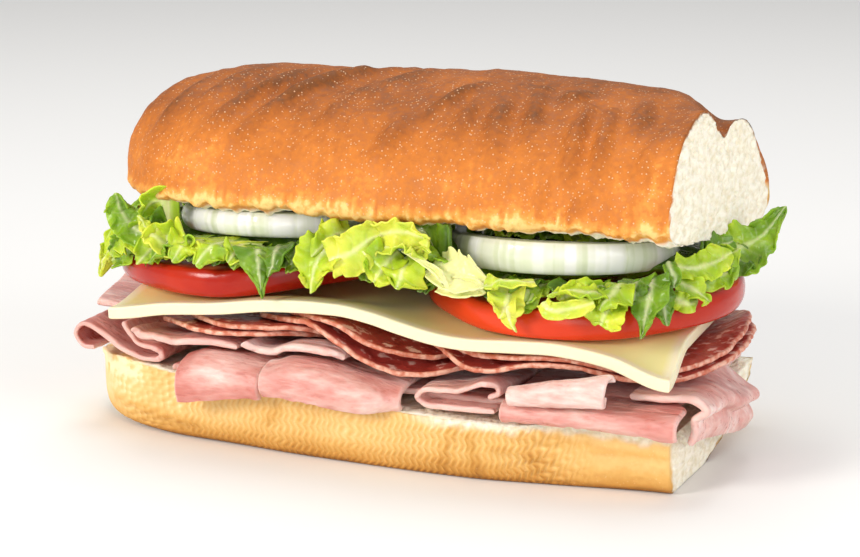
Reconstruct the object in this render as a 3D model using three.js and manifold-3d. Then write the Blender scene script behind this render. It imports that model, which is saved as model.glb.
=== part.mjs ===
// Submarine sandwich: the heel half of a long roll, filled from the bottom up with ham, salami, one
// slice of cheese, tomato, lettuce and onion rings. Millimetres, +X along the roll towards the end
// that was cut straight, -Y towards the front, +Z up.

import * as THREE from "three";
import { mergeVertices } from "three/addons/utils/BufferGeometryUtils.js";
import Module from "manifold-3d";

// The roll
const CUT_X = 76;
const HEEL_X = -78.3;
const HEEL_LENGTH = 36;
const TOP_HEEL_X = -69.3;

// Thickness of each filling
const HAM = 1.7;
const HAM_LOOP = 1.3;
const SALAMI = 1.15;
const CHEESE = 2.9;
const TOMATO = 6.4;
const LEAF = 1.1;

// Air kept between neighbours
const GAP = 0.35;

const wasm = await Module();
wasm.setup();

// Colours, roughness and metalness
const FINISH = {
  crust: [0xd98c45, 0.6],
  crumb: [0xe0b56a, 0.85],
  ham: [0xe3a39c, 0.4],
  salami: [0x9d3a30, 0.4],
  cheese: [0xf0e4ad, 0.45],
  tomato: [0xc92a1b, 0.3],
  onion: [0xe9eddb, 0.3],
  lettuce: [0x86b52c, 0.5],
};

// Value that runs smoothly through [place, value] pairs and stays level past both ends.
function through(pairs) {
  const last = pairs.length - 1;
  const slope = pairs.map((pair, i) => {
    if (i === 0 || i === last) return 0;
    return (pairs[i + 1][1] - pairs[i - 1][1]) / (pairs[i + 1][0] - pairs[i - 1][0]);
  });
  return (x) => {
    if (x <= pairs[0][0]) return pairs[0][1];
    if (x >= pairs[last][0]) return pairs[last][1];
    const i = pairs.findIndex((pair) => pair[0] > x) - 1;
    const span = pairs[i + 1][0] - pairs[i][0];
    const t = (x - pairs[i][0]) / span;
    const rise = t * t * (3 - 2 * t);
    const lead = t * (1 - t) * (1 - t) * slope[i];
    const tail = t * t * (t - 1) * slope[i + 1];
    return pairs[i][1] * (1 - rise) + pairs[i + 1][1] * rise + span * (lead + tail);
  };
}

// 0 at a and 1 at b with a soft start and end; a may be the larger one.
function smooth(a, b, x) {
  const t = THREE.MathUtils.clamp((x - a) / (b - a), 0, 1);
  return t * t * (3 - 2 * t);
}

// Repeatable random numbers between two bounds.
function dice(seed) {
  let state = seed;
  return (low, high) => {
    state = (state * 1664525 + 1013904223) % 4294967296;
    return low + (high - low) * (state / 4294967296);
  };
}

// A closed geometry from its points and triangles, turned inside out if its faces point inwards.
function closed(points, faces) {
  const p = points.flatMap((q) => [q.x, q.y, q.z]);
  let volume = 0;
  for (const [a, b, c] of faces) {
    volume += points[a].dot(points[b].clone().cross(points[c]));
  }
  const order = volume > 0 ? faces : faces.map(([a, b, c]) => [a, c, b]);
  const geometry = new THREE.BufferGeometry();
  geometry.setAttribute("position", new THREE.Float32BufferAttribute(p, 3));
  geometry.setIndex(order.flat());
  return geometry;
}

// A sheet of even thickness round the surface(u, v), with its four edges closed.
function shell(surface, nu, nv, thickness) {
  const at = (i, j) => i * (nv + 1) + j;
  const middle = [];
  for (let i = 0; i <= nu; i++) {
    for (let j = 0; j <= nv; j++) middle.push(surface(i / nu, j / nv));
  }
  const normal = middle.map((_, k) => {
    const i = Math.floor(k / (nv + 1));
    const j = k % (nv + 1);
    const du = middle[at(Math.min(i + 1, nu), j)].clone().sub(middle[at(Math.max(i - 1, 0), j)]);
    const dv = middle[at(i, Math.min(j + 1, nv))].clone().sub(middle[at(i, Math.max(j - 1, 0))]);
    return du.cross(dv).normalize();
  });
  const upper = middle.map((p, k) => p.clone().addScaledVector(normal[k], thickness / 2));
  const lower = middle.map((p, k) => p.clone().addScaledVector(normal[k], -thickness / 2));
  const n = middle.length;
  const faces = [];
  for (let i = 0; i < nu; i++) {
    for (let j = 0; j < nv; j++) {
      const [a, b, c, d] = [at(i, j), at(i + 1, j), at(i + 1, j + 1), at(i, j + 1)];
      faces.push([a, b, c], [a, c, d], [n + a, n + c, n + b], [n + a, n + d, n + c]);
    }
  }
  const rim = [];
  for (let i = 0; i < nu; i++) rim.push(at(i, 0));
  for (let j = 0; j < nv; j++) rim.push(at(nu, j));
  for (let i = nu; i > 0; i--) rim.push(at(i, nv));
  for (let j = nv; j > 0; j--) rim.push(at(0, j));
  rim.forEach((a, k) => {
    const b = rim[(k + 1) % rim.length];
    faces.push([a, n + a, b], [b, n + a, n + b]);
  });
  return closed([...upper, ...lower], faces);
}

// The closed geometry moved outwards along its smoothed normals.
function grown(geometry, by) {
  const copy = mergeVertices(geometry.clone());
  copy.computeVertexNormals();
  const position = copy.attributes.position;
  const normal = copy.attributes.normal;
  for (let i = 0; i < position.count; i++) {
    position.setXYZ(
      i,
      position.getX(i) + by * normal.getX(i),
      position.getY(i) + by * normal.getY(i),
      position.getZ(i) + by * normal.getZ(i),
    );
  }
  copy.deleteAttribute("normal");
  return copy;
}

function toManifold(geometry) {
  const merged = mergeVertices(geometry);
  return new wasm.Manifold(
    new wasm.Mesh({
      numProp: 3,
      vertProperties: new Float32Array(merged.attributes.position.array),
      triVerts: new Uint32Array(merged.index.array),
    }),
  );
}

// The largest single piece of a solid, as a geometry.
function largest(solid) {
  const pieces = solid.decompose();
  pieces.sort((a, b) => b.volume() - a.volume());
  const mesh = pieces[0].getMesh();
  const geometry = new THREE.BufferGeometry();
  geometry.setAttribute("position", new THREE.BufferAttribute(mesh.vertProperties, 3));
  geometry.setIndex(new THREE.BufferAttribute(mesh.triVerts, 1));
  return geometry;
}

const group = new THREE.Group();

function add(name, finish, geometry) {
  const [color, roughness] = FINISH[finish];
  const material = new THREE.MeshStandardMaterial({ color, roughness, metalness: 0 });
  const mesh = new THREE.Mesh(geometry, material);
  mesh.name = name;
  group.add(mesh);
  return geometry;
}

// A loaf half: a round heel at the left, then section(x, t) along the roll to a flat cut face. Towards
// the heel's tip the section shrinks to the point (tip.y, tip.z), and the cut face fans out from tip.cut.
function loaf(section, heelX, tip, sink, nLong, nRound) {
  const points = [new THREE.Vector3(heelX, tip.y, tip.z)];
  const faces = [];
  const nHeel = Math.round(nLong * 0.4);
  for (let i = 1; i <= nLong; i++) {
    const bend = (Math.min(i / nHeel, 1) * Math.PI) / 2;
    const along = Math.max(i - nHeel, 0) / (nLong - nHeel);
    const heelEnd = heelX + HEEL_LENGTH;
    const x = i <= nHeel ? heelX + HEEL_LENGTH * (1 - Math.cos(bend)) : heelEnd + (CUT_X - heelEnd) * along;
    const wide = Math.sin(bend);
    const tall = wide ** sink;
    for (let j = 0; j < nRound; j++) {
      const [y, z] = section(x, j / nRound);
      points.push(new THREE.Vector3(x, tip.y + (y - tip.y) * wide, tip.z + (z - tip.z) * tall));
    }
  }
  const at = (i, j) => 1 + (i - 1) * nRound + (j % nRound);
  for (let j = 0; j < nRound; j++) {
    faces.push([0, at(1, j), at(1, j + 1)]);
    for (let i = 1; i < nLong; i++) {
      faces.push([at(i, j), at(i + 1, j), at(i + 1, j + 1)], [at(i, j), at(i + 1, j + 1), at(i, j + 1)]);
    }
    faces.push([points.length, at(nLong, j + 1), at(nLong, j)]);
  }
  points.push(new THREE.Vector3(CUT_X, 3, tip.cut));
  return closed(points, faces);
}

// Bottom half of the roll: flat base, rounded sides, cut flat across the top. Near the cut end its back
// side rises from the base like a ramp.
const BASE = {
  frontFoot: through([[-60, -29], [-36, -31], [-11, -34.5], [30, -36.8], [49, -34.5], [76, -31]]),
  frontSide: through([[-60, -33], [-36, -35], [0, -37.6], [30, -38.4], [50, -36.8], [76, -34.4]]),
  frontTop: through([[-77, 17], [-61, 17.2], [-43, 16.3], [0, 14.6], [38, 13.3], [52, 14.3], [76, 13.2]]),
  backFoot: through([[42, 18], [76, -5]]),
  backSide: 34.5,
  backTop: 15.6,
};

function baseSection(x, t) {
  const foot = BASE.frontFoot(x);
  const side = BASE.frontSide(x);
  const top = BASE.frontTop(x);
  const backFoot = BASE.backFoot(x);
  if (t < 0.2) return [THREE.MathUtils.lerp(backFoot, foot, t / 0.2), 0];
  if (t < 0.45) {
    const a = ((t - 0.2) / 0.25) * (Math.PI / 2);
    return [foot + (side - foot) * Math.sin(a), top * (1 - Math.cos(a))];
  }
  if (t < 0.7) {
    const s = (t - 0.45) / 0.25;
    const dish = 0.7 * Math.sin(Math.PI * s);
    return [THREE.MathUtils.lerp(side, BASE.backSide, s), THREE.MathUtils.lerp(top, BASE.backTop, s) - dish];
  }
  const a = ((1 - t) / 0.3) * (Math.PI / 2);
  const out = Math.sin(a);
  const rise = THREE.MathUtils.lerp(1 - Math.cos(a), out, 0.5 * smooth(48, CUT_X, x));
  return [backFoot + (BASE.backSide - backFoot) * out, BASE.backTop * rise];
}

// Top half of the roll: outline across the middle and across the cut end, from the front lip over
// the dome to the back lip and along the underside. The cut end is split by a shallow groove.
const DOME_MIDDLE = [
  [-39, 58.2], [-38.4, 63], [-35, 71.5], [-26, 79.6], [-14, 84.2], [0, 86], [13, 84.6], [26, 78.5],
  [36, 69.5], [43, 59], [43.5, 53], [37, 49.6], [20, 50.2], [0, 53], [-18, 55], [-32, 56.4],
];
const DOME_CUT = [
  [-38.4, 58.6], [-37, 65.4], [-33, 73.3], [-26.7, 78.4], [-16, 81.8], [-7.5, 80.6], [2.6, 74.2], [10, 76.6],
  [23, 75], [35.4, 65.8], [44.6, 54.6], [40, 49.2], [21, 47.7], [5, 50.2], [-12, 52.6], [-30, 55],
];

// How far the dome's crest lies above that of the middle outline along the roll
const DOME_CREST = through([
  [-60, -1.3], [-35, -1.3], [-10, -0.9], [5, -0.7], [20, -0.2], [35, -0.5], [50, -1.4], [62, -2.4], [76, -3.4],
]);

function domeSection(x, t) {
  const blend = smooth(60, CUT_X, x) ** 2;
  const crest = DOME_CREST(x);
  const n = DOME_MIDDLE.length;
  const i = Math.floor(t * n);
  const s = t * n - i;
  const knot = (k) => {
    const a = DOME_MIDDLE[(k + n) % n];
    const b = DOME_CUT[(k + n) % n];
    const high = a[1] + crest * THREE.MathUtils.clamp((a[1] - 60) / 25, 0, 1);
    return [THREE.MathUtils.lerp(a[0], b[0], blend), THREE.MathUtils.lerp(high, b[1], blend)];
  };
  const [p0, p1, p2, p3] = [knot(i - 1), knot(i), knot(i + 1), knot(i + 2)];
  return [0, 1].map((c) => {
    const turn = 2 * p0[c] - 5 * p1[c] + 4 * p2[c] - p3[c];
    const bow = -p0[c] + 3 * p1[c] - 3 * p2[c] + p3[c];
    return 0.5 * (2 * p1[c] + (p2[c] - p0[c]) * s + turn * s * s + bow * s * s * s);
  });
}

const bottom = add("bun_bottom", "crumb", loaf(baseSection, HEEL_X, { y: -1, z: 10, cut: 7 }, 0.35, 21, 24));
const top = add("bun_top", "crust", loaf(domeSection, TOP_HEEL_X, { y: 0, z: 57.5, cut: 61.5 }, 0.62, 23, 28));

// Towards the middle of the roll every sheet settles from its edge at the front to a calmer level.
function edgeShare(y) {
  return smooth(-16, -36, y);
}

// A sheet whose profile across X and Z runs from the front to the back. With a rest height its folds
// flatten towards it behind the front; a looped profile has none and keeps its loops.
function ribbon({ profile, front, back, rest, thickness = HAM, nu = 11, nv = 4 }) {
  const curve = new THREE.CatmullRomCurve3(profile.map(([x, z]) => new THREE.Vector3(x, 0, z)));
  const mean = profile.reduce((sum, [, z]) => sum + z, 0) / profile.length;
  return shell((u, v) => {
    const p = curve.getPoint(u);
    const ends = 1.5 * Math.sin(7 * u) * (1 - v) + 1.6 * Math.sin(5 * u) * v;
    const y = THREE.MathUtils.lerp(front, back, v) + ends;
    const settled = rest === undefined ? p.z : rest + 0.35 * (p.z - mean);
    return new THREE.Vector3(p.x, y, THREE.MathUtils.lerp(settled, p.z, edgeShare(y)));
  }, nu, nv, thickness);
}

// A sheet that lies on the filling below and hangs over the front edge of the roll. Behind the front
// its right end may lie at rearRight.
function drape({ left, right, rearRight = right, hem, brow, rear, back, front = -41, curl = 0, nu = 7, nv = 8 }) {
  return shell((u, v) => {
    const x = THREE.MathUtils.lerp(left, THREE.MathUtils.lerp(right, rearRight, smooth(0.55, 0.75, v)), u);
    const low = hem(x);
    const high = brow(x);
    const turn = curl * smooth(0.75, 1, u);
    const path = new THREE.CatmullRomCurve3([
      new THREE.Vector3(x, front + 0.6 + turn, low),
      new THREE.Vector3(x, front - 0.4 + turn, (2 * low + high) / 3),
      new THREE.Vector3(x, front + 0.3 + turn, (low + 3 * high) / 4),
      new THREE.Vector3(x, front + 4.5 + turn, high),
      new THREE.Vector3(x, front + 14, (high + rear(x)) / 2),
      new THREE.Vector3(x, 0, rear(x)),
      new THREE.Vector3(x, back, rear(x)),
    ]);
    return path.getPoint(v);
  }, nu, nv, HAM);
}

const ham = {};
ham.ham_1 = ribbon({
  profile: [
    [-68.4, 19.3], [-71.8, 19.5], [-74, 21.9], [-72, 24.6], [-67.5, 22.9], [-62, 20], [-56.6, 18.1],
    [-52.6, 17.9], [-50.4, 18.4], [-49.4, 19.5], [-50.4, 20.7], [-52.6, 21.1], [-56, 21.5],
    [-59, 23.4], [-61, 26],
  ],
  thickness: HAM_LOOP,
  front: -31,
  back: 24,
  nu: 26,
});
ham.ham_2 = ribbon({
  profile: [[-54.6, 26.6], [-53, 24.9], [-49, 24.6], [-44.6, 24.3], [-40, 25.2], [-34, 25.4], [-27.4, 24.4]],
  front: -37,
  back: 30,
  rest: 23.1,
  nu: 9,
});

// The long slice that lies on the bread
ham.ham_3 = shell((u, v) => {
  const x = THREE.MathUtils.lerp(-46, 74, u);
  const y = THREE.MathUtils.lerp(-33, 31, v);
  return new THREE.Vector3(x, y, 16.9 + 0.25 * Math.sin(x / 9) + 0.2 * Math.sin(y / 8));
}, 12, 4, HAM);

ham.ham_4 = drape({
  left: -41,
  right: -19.4,
  hem: through([[-41, 11.4], [-34, 12.4], [-20, 14]]),
  brow: through([[-41, 20.4], [-36, 22.2], [-28, 22], [-20, 20.7]]),
  rear: through([[-41, 19.7], [-20, 19.7]]),
  back: 33,
  nu: 6,
});
ham.ham_5 = drape({
  left: -18.9,
  right: 14.5,
  hem: through([[-18, 15.6], [-8, 14.8], [4, 13.9], [14, 14.4]]),
  brow: through([[-18, 21.6], [-13, 22.9], [-6, 22.8], [2, 21.2], [14, 19]]),
  rear: through([[-18, 19.9], [14, 19.3]]),
  back: 32,
  front: -42.2,
  curl: 4,
  nu: 8,
});
ham.ham_6 = ribbon({
  profile: [[-25.2, 26], [-22.4, 24.1], [-18.4, 24.2], [-14, 26], [-8, 26.4], [-3, 25.8], [0, 24.6]],
  front: -38,
  back: 33,
  rest: 23.1,
  nu: 9,
});
ham.ham_7 = ribbon({
  profile: [
    [17.6, 19.4], [22, 19.3], [26, 19.5], [29.6, 20.9], [33, 22.4], [36.2, 22.5], [37.8, 20.8], [35.2, 19.1],
  ],
  front: -38.6,
  back: 32,
  nu: 14,
});

// The rolled slice, a cone that opens to the right
ham.ham_8 = shell((u, v) => {
  const x = THREE.MathUtils.lerp(41.5, 63.5, v) + 2 * u * v;
  const deep = THREE.MathUtils.lerp(1.5, 2.5, v);
  const tall = THREE.MathUtils.lerp(1.5, 3.3, v);
  const a = THREE.MathUtils.degToRad(-235 + 290 * u);
  return new THREE.Vector3(x, -42.2 + deep * Math.sin(a), 21.4 + 3.2 * v + tall * Math.cos(a));
}, 12, 4, HAM_LOOP);

ham.ham_9 = drape({
  left: 39,
  right: 79.5,
  rearRight: 68,
  hem: through([[39, 15.4], [57, 15.7], [70, 15.2], [76, 14.6]]),
  brow: through([[39, 19], [60, 19.1], [73, 19.2]]),
  rear: through([[39, 19.4], [76, 19.4]]),
  back: 31,
  front: -40.6,
  nu: 8,
});

// The slice that folds under itself and hangs over the bread at the cut end
ham.ham_10 = shell((u, v) => {
  const y = THREE.MathUtils.lerp(-35, 7.5, u);
  const high = 21.4 - 6.4 * smooth(-30, 10, y) + 0.4 * Math.sin(y / 3.4);
  const low = 12.6 - 6.8 * smooth(-35, 10, y);
  const path = new THREE.CatmullRomCurve3([
    new THREE.Vector3(67, y, 22.1),
    new THREE.Vector3(74.5, y, 22 - 0.2 * (21.4 - high)),
    new THREE.Vector3(81, y, high + 0.8),
    new THREE.Vector3(84.2, y, high - 1.4),
    new THREE.Vector3(81.6, y, high - 3.6),
    new THREE.Vector3(82.2 + 0.6 * Math.sin(y / 4), y, (high + low) / 2 - 1.6),
    new THREE.Vector3(80.8, y, low),
  ]);
  return path.getPoint(v);
}, 9, 9, HAM);

// The flap that stands out at the top left, under the cheese
ham.ham_11 = shell((u, v) => {
  const x = THREE.MathUtils.lerp(THREE.MathUtils.lerp(-71, -81, v), -58, u);
  const y = THREE.MathUtils.lerp(-24, 8, v);
  return new THREE.Vector3(x, y, 27.8 + 0.9 * smooth(-62, -76, x) - 0.4 * Math.cos(y / 7));
}, 4, 5, HAM);

for (const [name, geometry] of Object.entries(ham)) add(name, "ham", geometry);

// Salami: thin oval slices whose front edges rise and fall as they lie over each other. Each has its
// height through the middle of the roll, its height along the front edge and how far its right end
// curls up towards the back.
const SALAMI_SLICES = [
  {
    left: -57, right: -4, curl: 0,
    level: [[-57, 25.3], [-4, 25.3]],
    edge: [[-53, 28.8], [-45, 28.5], [-33, 27.9], [-20, 28.3], [-11, 28.2]],
  },
  {
    left: -49, right: 0, curl: 0,
    level: [[-49, 26.8], [0, 26.8]],
    edge: [[-44, 30.4], [-31, 29.7], [-20, 30], [-12, 29.9], [-5, 28.4]],
  },
  {
    left: -33, right: 36, curl: 0,
    level: [[-33, 28.4], [0, 28.3], [13, 24.9], [36, 24.3]],
    edge: [[-26, 31.8], [-18, 31.6], [-9, 31.8], [-2, 28.8], [5, 25], [11, 22.7], [17, 22], [28, 23]],
  },
  {
    left: -24, right: 28, curl: 0,
    level: [[-24, 30], [0, 29.8], [14, 26.5], [28, 26]],
    edge: [[-17, 33.1], [-2, 32.6], [7, 28.4], [15, 26.2], [20, 25.2]],
  },
  {
    left: 8, right: 84, curl: 4,
    level: [[8, 29.3], [22, 28], [34, 27.2], [84, 25.2]],
    edge: [
      [12, 31.8], [17, 29.1], [23, 26.8], [28, 24.9], [36, 25.2], [44, 27.4], [56, 27.8], [66, 25.4],
      [84, 24],
    ],
  },
  {
    left: 12, right: 83, curl: 5,
    level: [[12, 30.8], [24, 29.5], [40, 28.7], [84, 27]],
    edge: [[16, 31], [24, 28.6], [30, 27.9], [38, 28.4], [52, 29.6], [63, 27.8], [72, 26.8], [84, 26]],
  },
];
const SALAMI_FRONT = -38.5;
const SALAMI_BACK = 36;
const SALAMI_SQUARENESS = 0.44;

function salami({ left, right, curl, level, edge }) {
  const middle = through(level);
  const front = through(edge);
  const [cx, halfX] = [(left + right) / 2, (right - left) / 2];
  const [cy, halfY] = [(SALAMI_FRONT + SALAMI_BACK) / 2, (SALAMI_BACK - SALAMI_FRONT) / 2];
  return shell((u, v) => {
    const a = 2 * u - 1;
    const b = 2 * v - 1;
    const x = cx + halfX * a * Math.sqrt(1 - SALAMI_SQUARENESS * b * b);
    const y = cy + halfY * b * Math.sqrt(1 - SALAMI_SQUARENESS * a * a);
    const rise = curl * smooth(70, 84, x) * smooth(-25, 20, y);
    return new THREE.Vector3(x, y, THREE.MathUtils.lerp(middle(x), front(x), edgeShare(y)) + rise);
  }, 11, 5, SALAMI);
}

SALAMI_SLICES.forEach((slice, i) => add(`salami_${i + 1}`, "salami", salami(slice)));

// Cheese: one square slice whose front edge sags between what it lies on.
const CHEESE_EDGE = through([
  [-60, 30.6], [-44, 32.9], [-31, 34.1], [-18, 35.9], [-1, 36.5], [7, 35.5], [15, 33.6], [23, 32], [31, 31.4],
  [42, 31.9], [52, 32.1], [64, 30.5], [77, 26.6],
]);
const CHEESE_LEVEL = through([[-10, 33.9], [12, 33.2], [30, 32.2], [80, 32]]);

const cheese = add("cheese", "cheese", shell((u, v) => {
  const left = THREE.MathUtils.lerp(-58.6, -53, v);
  const right = THREE.MathUtils.lerp(77.6, 72, v);
  const x = THREE.MathUtils.lerp(left, right, u);
  const y = THREE.MathUtils.lerp(-40.5, 38, v);
  return new THREE.Vector3(x, y, THREE.MathUtils.lerp(CHEESE_LEVEL(x), CHEESE_EDGE(x), smooth(-22, -39, y)));
}, 14, 6, CHEESE));

// Tomato: thick round slices with a slightly bulging skin.
function tomato({ x, y, radius, base, tilt }) {
  const profile = [];
  const half = TOMATO / 2;
  profile.push(new THREE.Vector2(0, -half), new THREE.Vector2(radius * 0.55, -half));
  for (let k = 0; k <= 4; k++) {
    const a = THREE.MathUtils.degToRad(-70 + 35 * k);
    profile.push(new THREE.Vector2(radius - 1.6 + 1.6 * Math.cos(a), half * Math.sin(a) * 1.06));
  }
  profile.push(new THREE.Vector2(radius * 0.55, half), new THREE.Vector2(0, half));
  const disc = new THREE.LatheGeometry(profile, 24);
  disc.rotateX(Math.PI / 2);
  disc.deleteAttribute("normal");
  disc.deleteAttribute("uv");
  const geometry = mergeVertices(disc);
  const p = geometry.attributes.position;
  for (let i = 0; i < p.count; i++) {
    const [dx, dy] = [p.getX(i), p.getY(i)];
    p.setXYZ(i, x + dx, y + dy, p.getZ(i) + half + base + tilt(x + dx, y + dy));
  }
  return closedLike(geometry);
}

// The same geometry with its faces pointing out.
function closedLike(geometry) {
  const p = geometry.attributes.position;
  const points = [];
  for (let i = 0; i < p.count; i++) points.push(new THREE.Vector3().fromBufferAttribute(p, i));
  const index = geometry.index.array;
  const faces = [];
  for (let i = 0; i < index.length; i += 3) {
    const [a, b, c] = [index[i], index[i + 1], index[i + 2]];
    if (a !== b && b !== c && c !== a) faces.push([a, b, c]);
  }
  return closed(points, faces);
}

const tomatoLeft = add("tomato_left", "tomato", tomato({
  x: -32.5,
  y: -3,
  radius: 37.3,
  base: 35.95,
  tilt: (x, y) => 4.6 * smooth(-34, 6, x) + 0.5 * smooth(-20, -38, y) - 2.2 * smooth(-63, -73, x),
}));
const tomatoRight = add("tomato_right", "tomato", tomato({
  x: 46,
  y: -3,
  radius: 36.6,
  base: 34.1,
  tilt: (x, y) => 1.4 * smooth(60, 82, x) + smooth(34, 12, x) * (1.2 + 0.9 * smooth(-20, -38, y)),
}));

// Onion: rings with a slanted wall that is lower at the back.
function onion({ x, y, radius, wall, top, slope, height, twist }) {
  const n = 24;
  const points = [];
  const faces = [];
  for (let i = 0; i < n; i++) {
    const a = (2 * Math.PI * i) / n;
    const out = radius * (1 + 0.035 * Math.cos(2 * a + twist));
    const px = (r) => x + r * Math.cos(a);
    const py = (r) => y + r * Math.sin(a);
    const high = top - slope * (radius + radius * Math.sin(a)) + 0.02 * radius * Math.cos(a);
    const tall = height * (0.86 - 0.14 * Math.sin(a));
    const low = high - tall;
    points.push(
      new THREE.Vector3(px(out - 1.2), py(out - 1.2), high),
      new THREE.Vector3(px(out), py(out), high - 0.45 * tall),
      new THREE.Vector3(px(out - 1.3), py(out - 1.3), low),
      new THREE.Vector3(px(out - wall - 0.6), py(out - wall - 0.6), low + 0.6),
      new THREE.Vector3(px(out - wall), py(out - wall), high - 0.45 * tall),
      new THREE.Vector3(px(out - wall - 0.9), py(out - wall - 0.9), high - 0.4),
    );
  }
  for (let i = 0; i < n; i++) {
    for (let k = 0; k < 6; k++) {
      const a = i * 6 + k;
      const b = i * 6 + ((k + 1) % 6);
      const c = ((i + 1) % n) * 6 + k;
      const d = ((i + 1) % n) * 6 + ((k + 1) % 6);
      faces.push([a, b, d], [a, d, c]);
    }
  }
  return closed(points, faces);
}

const onionLeft = add("onion_left", "onion", onion({
  x: -25.6, y: -12, radius: 24.8, wall: 3.4, top: 56.1, slope: 0.105, height: 5.6, twist: 0.4,
}));
const onionRight = add("onion_right", "onion", onion({
  x: 42.4, y: -9.6, radius: 27.4, wall: 3.6, top: 54.8, slope: 0.115, height: 7, twist: 2.2,
}));

// Lettuce: a low heap between tomato and bread, with ruffled leaf pieces that stand out all round.
function leaf({ x, y, z, heading, length, width, droop, ruffle, phase }) {
  const out = new THREE.Vector3(Math.cos(heading), Math.sin(heading), 0);
  const side = new THREE.Vector3(-Math.sin(heading), Math.cos(heading), 0);
  return shell((u, v) => {
    const w = 2 * v - 1;
    const spread = width * (0.55 + 0.45 * Math.sin(Math.PI * Math.min(u * 0.8 + 0.15, 1)));
    const lift = ruffle * u * Math.sin(7.5 * w + phase) + 0.6 * ruffle * w * Math.sin(8 * u + phase);
    const reach = length * (u - 0.12 * u * w * w) + ruffle * 0.5 * u * Math.cos(6 * w + phase);
    return new THREE.Vector3(x, y, z)
      .addScaledVector(out, reach)
      .addScaledVector(side, spread * w)
      .add(new THREE.Vector3(0, 0, lift - droop * u * u));
  }, 4, 5, LEAF);
}

// Where the leaf pieces stand out: [x, y, z, heading in degrees, length, width, droop, ruffle]
const LEAVES = [
  [-58, -6, 48, 186, 22, 9, 1, 1.9],
  [-58, -20, 48, 210, 20, 8, 7, 2],
  [-56, 10, 47, 160, 18, 9, 3, 2],
  [-54, -24, 50, 236, 15, 7, -2, 1.6],
  [-47, -28, 47, 254, 13, 7, 6, 1.7],
  [-36, -29, 47, 262, 13, 7, 8, 1.8],
  [-27, -30, 48, 276, 13, 6, 13, 1.6],
  [-12, -30, 49, 264, 13, 8, 12, 1.8],
  [1, -30, 50, 278, 14, 8, 11, 1.8],
  [13, -29, 49, 268, 13, 6, 9, 1.7],
  [29, -29, 46, 262, 13, 7, 9, 1.8],
  [40, -30, 45, 272, 13, 7, 11, 1.6],
  [54, -30, 45, 280, 13, 7, 10, 1.7],
  [65, -28, 45, 294, 15, 7, 9, 1.8],
  [68, -12, 46, 338, 16, 8, 4, 1.9],
  [65, 6, 47, 30, 26, 7, -8, 1.6],
  [66, 16, 45, 34, 15, 8, 4, 1.8],
  [50, 26, 43, 82, 14, 9, 3, 1.8],
  [30, 27, 44, 96, 14, 9, 5, 1.8],
  [12, 27, 45, 88, 14, 9, 4, 1.9],
  [-8, 27, 45, 94, 14, 9, 5, 1.8],
  [-28, 26, 44, 84, 15, 9, 4, 1.9],
  [-46, 24, 44, 108, 14, 9, 5, 1.8],
];

// The heap's core: its underside rises to a crest over the raised end of the left tomato slice and
// sinks to the right, and its top leans with the bread.
const CORE_LOW = through([[0, 43.1], [30, 42]]);
const CORE_CREST = 47.8;
const CORE_HIGH = 50.2;
const CORE_SLOPE = 0.135;

function core() {
  const n = 20;
  const levels = [[0.9, 0], [1, 0.5], [0.9, 1]];
  const points = [];
  const faces = [];
  for (const [scale, rise] of levels) {
    for (let i = 0; i < n; i++) {
      const a = (2 * Math.PI * i) / n;
      const c = Math.cos(a);
      const s = Math.sin(a);
      const x = 6 + 68 * scale * Math.sign(c) * Math.abs(c) ** 0.55;
      const y = 2 + 32 * scale * Math.sign(s) * Math.abs(s) ** 0.7;
      const z = THREE.MathUtils.lerp(CORE_LOW(x), CORE_HIGH - CORE_SLOPE * y, rise);
      points.push(new THREE.Vector3(x, y, z));
    }
  }
  for (let k = 0; k < levels.length - 1; k++) {
    for (let i = 0; i < n; i++) {
      const a = k * n + i;
      const b = k * n + ((i + 1) % n);
      faces.push([a, b, b + n], [a, b + n, a + n]);
    }
  }
  for (const [row, z, flip] of [[0, CORE_CREST, true], [levels.length - 1, CORE_HIGH, false]]) {
    const middle = points.length;
    points.push(new THREE.Vector3(6, 2, z));
    for (let i = 0; i < n; i++) {
      const a = row * n + i;
      const b = row * n + ((i + 1) % n);
      faces.push(flip ? [middle, b, a] : [middle, a, b]);
    }
  }
  return closed(points, faces);
}

const roll = dice(11);
const pieces = [toManifold(core())];
for (const [x, y, z, degrees, length, width, droop, ruffle] of LEAVES) {
  const heading = THREE.MathUtils.degToRad(degrees);
  pieces.push(toManifold(leaf({ x, y, z, heading, length, width, droop, ruffle, phase: roll(0, 6.28) })));
}
let heap = wasm.Manifold.union(pieces);
for (const neighbour of [top, tomatoLeft, tomatoRight, onionLeft, onionRight, cheese]) {
  heap = heap.subtract(toManifold(grown(neighbour, GAP)));
}
add("lettuce", "lettuce", largest(heap));

// The middle of the base is the origin.
const box = new THREE.Box3().setFromObject(group);
group.position.set(-(box.min.x + box.max.x) / 2, -(box.min.y + box.max.y) / 2, -box.min.z);
group.updateMatrixWorld(true);

export default group;
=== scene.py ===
"""Looks of half a long sandwich roll with ham, salami, cheese, tomato, lettuce and onion.

Shapes are worked out in the loaf's own axes in millimetres: X along the roll from the heel at the
left to the cut end at CUT_X, front towards -Y, Z up from the flat base. Bench.piece() moves them into
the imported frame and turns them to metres.
"""

from __future__ import annotations

import logging
import math
from dataclasses import dataclass, field, replace
from enum import Enum
from typing import Callable, Sequence

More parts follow.
